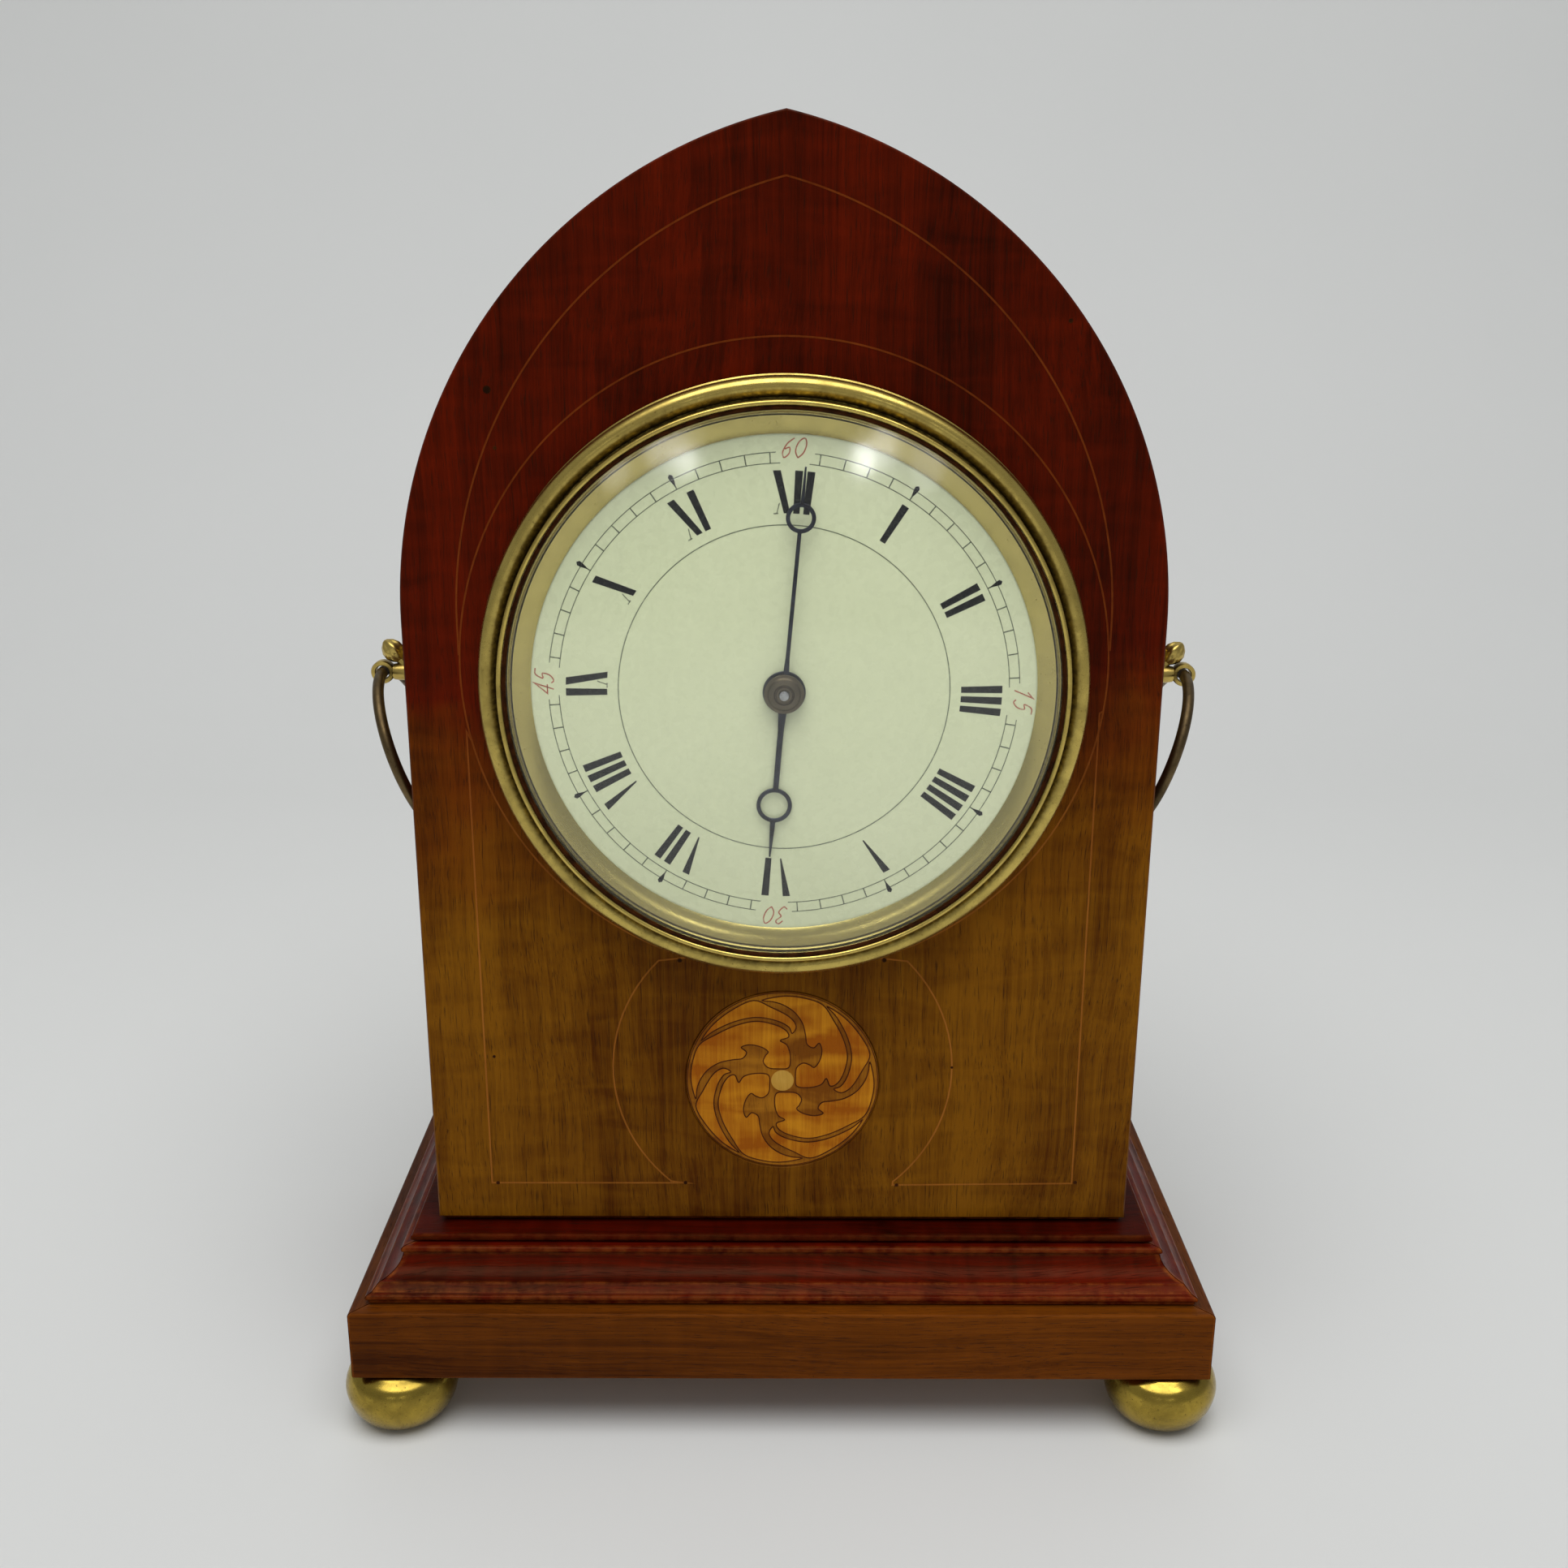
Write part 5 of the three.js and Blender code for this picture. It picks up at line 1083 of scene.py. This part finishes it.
# %% The minute track and the red quarters
track = [penned(circle(0, DIAL_Z, 38.6, 180), 0.22, closed=True),
         ring_line(52.4, 0.2, 3.6), ring_line(54.8, 0.2, 4.6)]
for degrees in range(0, 360, 6):
    if degrees not in QUARTERS:
        track.append(penned([on_dial(52.4, degrees), on_dial(54.8, degrees)], 0.28))
SPEAR = ((52.8, 0), (54.9, 0.55), (55.6, 0.6), (56.1, 0), (55.6, -0.6), (54.9, -0.55))
spears = [printed([on_dial(radius, angle + turn) for radius, turn in SPEAR])
          for angle in range(0, 360, 30) if angle not in QUARTERS]
add_piece("dial_spears", together(*spears), "case", DIAL_BLACK)
add_piece("dial_track", together(*track), "case", DIAL_TRACK)
add_piece("dial_hairlines", together(*fine_shapes), "case", DIAL_HAIRLINE)

SCRIPT = {
    "0": [[(0.5, 0), (0.08, 0.35), (0.12, 0.8), (0.5, 1), (0.85, 0.68), (0.84, 0.25), (0.5, 0)]],
    "1": [[(0.12, 0.72), (0.5, 1), (0.3, 0)]],
    "3": [[(0.1, 0.82), (0.42, 1), (0.74, 0.82), (0.4, 0.55), (0.76, 0.3), (0.42, 0), (0.02, 0.14)]],
    "4": [[(0.62, 0), (0.62, 1), (0.02, 0.34), (0.9, 0.34)]],
    "5": [[(0.86, 1), (0.32, 0.97), (0.2, 0.58), (0.64, 0.6), (0.72, 0.22), (0.36, 0), (0.02, 0.12)]],
    "6": [[(0.76, 0.98), (0.3, 0.7), (0.1, 0.28), (0.36, 0), (0.72, 0.2), (0.6, 0.5), (0.2, 0.42)]],
}


def italic(text, degrees):
    """Red figures with their middle at that angle, sloping like the old script."""
    height, width, slope = 4.4, 2.5, 0.3
    shapes = []
    for i, figure in enumerate(text):
        for path in SCRIPT[figure]:
            smooth = eased(path, 5) if figure not in "14" else path
            places = []
            for u, v in smooth:
                across = (i - len(text) / 2) * (width + 0.35) + u * width
                across += (v - 0.5) * slope * height
                places.append(on_dial(53.6 + v * height, degrees + math.degrees(across / 55.5)))
            shapes.append(penned(places, 0.3))
    return shapes


reds = [s for text, q in zip(("60", "15", "30", "45"), QUARTERS) for s in italic(text, q)]
add_piece("dial_quarters", together(*reds), "case", DIAL_RED)
printing = [piece for name, piece in made.items() if name.startswith("dial_")]
print("dial printing:", sum(len(piece.data.polygons) for piece in printing), "faces")

# %% [markdown]
# ## The hands
# Two blued steel hands with a ring near the tip. Each is filed from thin sheet: a tapered shaft, a
# ring with a slim wall and a pointed end. The outline is drawn pointing up and then turned to the
# time. A brown collet holds them, and the steel end of the arbor stands out of it.

# %% The hands
def hand(name, body, node, front, reach, ring, ring_radius, hub, bore, root, waist, degrees):
    wall = 0.95
    start, end = hub * 0.9, ring - ring_radius + wall * 0.5
    base = ring + ring_radius - wall * 0.5
    shoulder = base + (reach - base) * 0.3
    shaft = [(-root / 2, start), (root / 2, start), (waist / 2 * 1.05, start + 5),
             (waist / 2, end), (-waist / 2, end), (-waist / 2 * 1.05, start + 5)]
    tip = [(-waist * 0.5, base), (waist * 0.5, base), (waist * 0.42, shoulder), (0.2, reach),
           (-0.2, reach), (-waist * 0.42, shoulder)]
    parts = []
    for outline, holes, arris in (
        (circle(0, 0, hub, 64), [circle(0, 0, bore, 48)], 0.12),
        (shaft, [], 0.12),
        (circle(0, ring, ring_radius, 64), [circle(0, ring, ring_radius - wall, 56)], 0.12),
        (tip, [], 0.1),
    ):
        loops = [[swung(x, z, degrees) for x, z in loop] for loop in [outline] + holes]
        parts.append(slab(loops[0], front, front + 0.6, loops[1:], arris=arris))
    return add_piece(name, together(*parts), body, BLUED_STEEL, [node], crease=30)


hand("minute_moon_hand", "hands_arbor", "minute_hand", front=-9.3, reach=52, ring=40.6,
     ring_radius=3.4, hub=4, bore=2.3, root=1.5, waist=0.9, degrees=DIAL_TURN + 2.7)
hand("hour_moon_hand", "hour_work", "hour_hand", front=-7.9, reach=40.5, ring=27.6,
     ring_radius=4.2, hub=5, bore=3.3, root=2.0, waist=1.3, degrees=DIAL_TURN + 182.3)
COLLET = [(1.3, -9.6), (4.5, -9.6), (4.65, -9.75), (4.55, -9.95), (3.95, -9.95), (3.8, -10.05),
          (3.6, -10.45), (3.0, -10.75), (2.4, -10.85), (2.2, -10.6), (1.95, -10.6),
          (1.8, -10.85), (1.3, -10.85)]
TIP = [(0, -11.8), (0.7, -11.75), (1.1, -11.55), (1.2, -11.2), (1.2, -10.9), (0, -10.9)]
add_piece("domed_collet", turned(COLLET, CENTRE, steps=64), "hands_arbor", COLLET_BRASS,
          ["hand_collet"])
add_piece("arbor_tip", turned(TIP, CENTRE, steps=32, closed=False), "hands_arbor", STEEL)
print("hands made")

# %% [markdown]
# ## The patera
# The round inlay below the dial is a whirl: four leaves that grow from a curled head near the middle
# button and sweep round to the rim. It was cut from satinwood, scorched at the edges in hot sand for
# shade, and engraved. One leaf is drawn as a smooth outline and turned four times.

# %% The patera
SATINWOOD = mahogany("satinwood_leaf", rgb(206, 136, 26), rgb(158, 84, 10), stripe=0.8,
                     pores=0.12, curl=0.6, coat=0.1, rough=0.34)
SATIN_GROUND = mahogany("satinwood_ground", rgb(168, 108, 24), rgb(122, 68, 12), stripe=0.8,
                        pores=0.3, curl=0.8, coat=0.1, rough=0.36)
SCORCHED = mahogany("scorched_line", rgb(84, 38, 10), rgb(44, 16, 4), stripe=0.6, pores=0.2,
                    coat=0.1)
BUTTON_WOOD = mahogany("holly_button", rgb(214, 168, 78), rgb(186, 138, 52), pores=0.1, coat=0.1)

LEAF = [(1.6, 3.7), (1.95, 7.0), (1.1, 9.9), (-0.6, 11.2), (1.5, 12.2), (0.8, 14.0), (-2.1, 15.6),
        (-6.8, 16.5), (-11.9, 15.3), (-17.1, 12.7), (-21.2, 9.9), (-23.0, 4.9), (-23.4, 0.0),
        (-22.3, -5.2), (-21.9, -2.5), (-21.0, 0.2), (-19.0, 3.0), (-16.0, 5.0), (-12.7, 5.8),
        (-10.2, 6.2), (-9.2, 7.9), (-10.5, 9.3), (-8.3, 10.0), (-5.5, 9.4), (-3.7, 8.1),
        (-4.4, 6.9), (-4.9, 5.2), (-3.6, 3.6), (-1.0, 3.3)]
CRESCENT = [(2.4, 13.2), (1.5, 15.0), (-1.6, 16.7), (-6.7, 17.6), (-12.2, 16.4), (-17.6, 13.7),
            (-20.6, 11.2), (-17.6, 15.6), (-12.8, 19.6), (-7.4, 22.2), (-3.0, 20.4),
            (1.6, 17.8), (3.4, 15.2)]


def whirl(points, quarter):
    return [swung(x, z, -90 * quarter, (0, PATERA_Z)) for x, z in eased(points, 5, closed=True)]


ground = slab(circle(0, PATERA_Z, 24.6, 128), 0, 2.4, arris=0.1)
add_piece("patera_ground", ground, "case", SATIN_GROUND, ["patera"], grain=upright)
leaves, edges = [], [line(circle(0, PATERA_Z, 24.35, 128), 0.25, -0.03, closed=True)]
for quarter in range(4):
    for outline in (whirl(LEAF, quarter), whirl(CRESCENT, quarter)):
        leaves.append(slab(outline, -0.05, 0.4))
        edges.append(line(outline, 0.3, -0.07, closed=True))
add_piece("patera_leaves", together(*leaves), "case", SATINWOOD, grain=upright)
add_piece("patera_scorched_lines", together(*edges), "case", SCORCHED, grain=upright)
button = slab(circle(0, PATERA_Z, 2.9, 48), -0.08, 0.4, arris=0.05)
add_piece("patera_button", button, "case", BUTTON_WOOD, grain=upright)
print("patera leaves:", len(leaves))

# %% [markdown]
# ## The side handles
# On each side a cast mount holds a ring: a round plate on the wood, a short arm, an eye at its end and
# a leaf bud that rises above it. The ring, of darker metal, hangs in the eye and leans on the case.

# %% The side handles
PIVOT_X, PIVOT_Z, HANDLE_Y = 107.8, 186.5, 52.0
RING_RADIUS, RING_TUBE = 23.0, 1.5
LEAN = math.degrees(math.asin((PIVOT_X - HALF - RING_TUBE - 0.6) / (2 * RING_RADIUS)))


def mirrored(shape, side):
    return [(side * x, y, z) for x, y, z in shape[0]], shape[1]


def handle_mount(side):
    arm = [(0, 0), (11.6, 0), (12.0, 0.4), (11.7, 0.9), (10.9, 1.5), (9.6, 1.7), (8.6, 1.4),
           (6.4, 1.5), (4.9, 2.2), (3.3, 4.2), (2.8, 6.4), (2.9, 8.0), (2.4, 10.2), (2.1, 14.6),
           (0, 15.0)]
    arm = [(r, HALF + 0.3 + out) for r, out in arm]
    eye = [(1.85, 50.6), (2.05, 50.35), (2.9, 50.35), (3.1, 50.7), (3.1, 53.3), (2.9, 53.65),
           (2.05, 53.65), (1.85, 53.4)]
    bud = [(0, 10.9), (0.7, 10.7), (1.9, 9.7), (2.7, 8.2), (2.75, 6.6), (2.1, 5.2), (1.3, 4.3),
           (1.35, 2.8), (2.1, 0.4), (0, 0)]
    bud_points, bud_faces = turned(bud, (0, 0), "Z", 40, closed=False)
    foot = (100.3, PIVOT_Z)
    tilt = math.degrees(math.atan2(106.8 - foot[0], 8.2))
    fluted = []
    for x, y, z in bud_points:
        swell = 1 + 0.09 * math.cos(6 * math.atan2(y, x)) * (z > 4)
        across, up = swung(x * swell, z, tilt, foot)
        fluted.append((across, HANDLE_Y + y * swell, up))
    body = together(
        turned(eased(arm, 3), (HANDLE_Y, PIVOT_Z), "X", 64, closed=False),
        turned(eye, (PIVOT_X, PIVOT_Z), "Y", 48),
        (fluted, bud_faces),
    )
    return mirrored(body, side)


def handle_ring(side):
    rows = []
    for i in range(120):
        a = 2 * math.pi * i / 120
        row = []
        for out, r in circle(0, RING_RADIUS, RING_TUBE, 20):
            x, z = swung(out, r * math.cos(a) - RING_RADIUS, LEAN, (PIVOT_X, PIVOT_Z))
            row.append((x, HANDLE_Y + r * math.sin(a), z))
        rows.append(row)
    return mirrored(grid(rows, wrap_rows=True, wrap_row=True), side)


for side, word in SIDES:
    add_piece(f"cast_mount_{word}", handle_mount(side), "case", HANDLE_BRASS,
              [f"handle_mount_{word}"])
    add_piece(f"hanging_ring_{word}", handle_ring(side), f"ring_{word}", RING_BRASS,
              [f"handle_ring_{word}"])
print("handles made")

# %% [markdown]
# ## The solids that stay
# The wheels, plates and other pieces of the movement keep their measured solids and get the finish
# of their metal. Plain pine is left for the boards that nobody sees.

# %% Finishes for the solids that stay
def plain_pine():
    material, tree, shader, place = new_material("plain_pine")
    axes = put(tree, "SeparateXYZ", {0: place}).outputs
    grain = put(tree, "CombineXYZ", {0: axes["Z"], 1: axes["Y"], 2: axes["X"]}).outputs[0]
    wood = shared(tree, WOOD_GRAIN, {"Grain": grain, "Light": rgb(190, 142, 86),
                                     "Dark": rgb(142, 92, 48), "Stripe": 0.5, "Pores": 0.15,
                                     "Curl": 0.1})
    feed(tree, shader, {
        "Base Color": wood["Color"],
        "Roughness": maths(tree, "ADD", wood["Roughness"], 0.55),
        "Normal": bumped(tree, wood["Height"], 0.12),
    })
    return material


KEPT = [
    (plain_pine(), ["plinth_back", "base_board", "case_floor"]),
    (PLATE_BRASS, ["dial_plate", "front_plate", "back_plate", "barrel", "intermediate_wheel",
                   "centre_wheel", "third_wheel", "fourth_wheel", "balance_wheel",
                   "balance_cock", "hour_wheel", "minute_wheel", "strap_top", "strap_bottom",
                   "setting_knob"]),
    (DOOR_BRASS, ["back_ring", "back_door", "door_knob"]),
    (STEEL, ["cannon_pinion", "barrel_arbor", "ratchet_wheel", "click", "click_spring",
             "escape_wheel", "lever", "strap_screw_top", "strap_screw_bottom",
             "door_hinge_pin"]),
    (BLUED_STEEL, ["hairspring"]),
]
for finish, names in KEPT:
    for name in names:
        solid = nodes[name]
        solid.data.materials.clear()
        solid.data.materials.append(finish)
print("solids kept:", sum(len(names) for _, names in KEPT))

# %% [markdown]
# ## Trim on the back
# A spinner in a brass shop rolls the edges of the back ring and of the door over a wire, so they are
# smooth and round. The same edge is spun here as a thin ring on each. Each strap screw gets a short
# dark strip across its head for its slot: the dark is painted shade, where a cut slot would be in
# shade.

# %% Rolled edges and screw slots
RING_EDGE = ([(61.2, 112.3), (62.2, 112.3), (62.45, 112.6)]
             + arc(61.75, 113.3, 0.7, 0, 180, 10) + [(61.05, 112.9)])
DOOR_EDGE = ([(44.3, 113.9), (45.2, 113.9), (45.45, 114.2)]
             + arc(44.85, 115.7, 0.6, 0, 180, 10) + [(44.25, 114.6)])
add_piece("back_ring_edge", turned(RING_EDGE, CENTRE, steps=160), "case", DOOR_BRASS)
add_piece("back_door_edge", turned(DOOR_EDGE, CENTRE, steps=144), "door", DOOR_BRASS)
for word in ("top", "bottom"):
    low, high = (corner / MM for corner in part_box(f"strap_screw_{word}"))
    x, z, face = (low.x + high.x) / 2, (low.z + high.z) / 2, high.y - CASE_FRONT
    # The slot is a dark strip on the screw head: painted shade standing for a cut slot.
    slot_shade_strip = slab(oblong(x - 1.9, z - 0.35, x + 1.9, z + 0.35), face - 0.3, face + 0.04)
    add_piece(f"screw_slot_shade_{word}", slot_shade_strip, "case", PIN_MARK)
print("back trim:", sum(1 for n in made if n.endswith("_edge")), "edges")

# %% [markdown]
# ## Floor, backdrop and lamps
# The clock stands on a plain pale sheet that curves up behind it, so there is no line between table
# and wall. One large soft lamp overhead gives nearly all the light. Four small oval ones stand far
# behind the camera, two on each side, and show as soft lights in the glass and on the brass.

# %% Floor, backdrop and lamps
def sheet():
    front, rise = [(-2.2, 0.0), (-0.6, 0.0), (0.5, 0.0)], arc(0.5, 0.6, 0.6, -84, 0, 14)
    points, faces = grid([[(x, y, z) for y, z in front + rise + [(1.1, 2.4)]]
                          for x in (-2.6, 2.6)])
    mesh = bpy.data.meshes.new("paper_sweep")
    mesh.from_pydata(points, [], faces)
    mesh.shade_smooth()
    material, tree, shader, place = new_material("pale_paper")
    tone = noise(tree, place, 0.003, 3)
    feed(tree, shader, {
        "Base Color": colours(tree, tone, (0.70, 0.705, 0.69, 1), (0.74, 0.745, 0.73, 1)),
        "Roughness": 0.7,
        "Specular IOR Level": 0.2,
    })
    mesh.materials.append(material)
    paper = in_scene("paper_sweep", mesh)


LAMPS = {
    "lamp_left": ((-0.41, -2.2, 0.67), (0.09, 0.13), 0.26),
    "lamp_far_left": ((-0.72, -2.2, 0.66), (0.14, 0.24), 0.16),
    "lamp_right": ((0.33, -2.2, 0.67), (0.09, 0.13), 0.32),
    "lamp_far_right": ((0.60, -2.2, 0.66), (0.14, 0.24), 0.16),
    "overhead": ((0.0, -0.65, 1.95), (2.2, 1.6), 30.5),
}
sheet()
for name, (place, size, power) in LAMPS.items():
    light = bpy.data.lights.new(name, "AREA")
    light.shape, light.energy = "ELLIPSE", power
    light.size, light.size_y = size
    lamp = in_scene(name, light)
    lamp.location = place
    toward = Vector((0, 0, 0.15)) - lamp.location
    lamp.rotation_euler = toward.to_track_quat("-Z", "Y").to_euler()
world = bpy.data.worlds.new("studio")
world.use_nodes = True
background = {"Color": (0.9, 0.92, 0.95, 1), "Strength": 0.33}
feed(world.node_tree, world.node_tree.nodes["Background"].inputs, background)
bpy.context.scene.world = world
bpy.context.scene.view_settings.view_transform = "Standard"
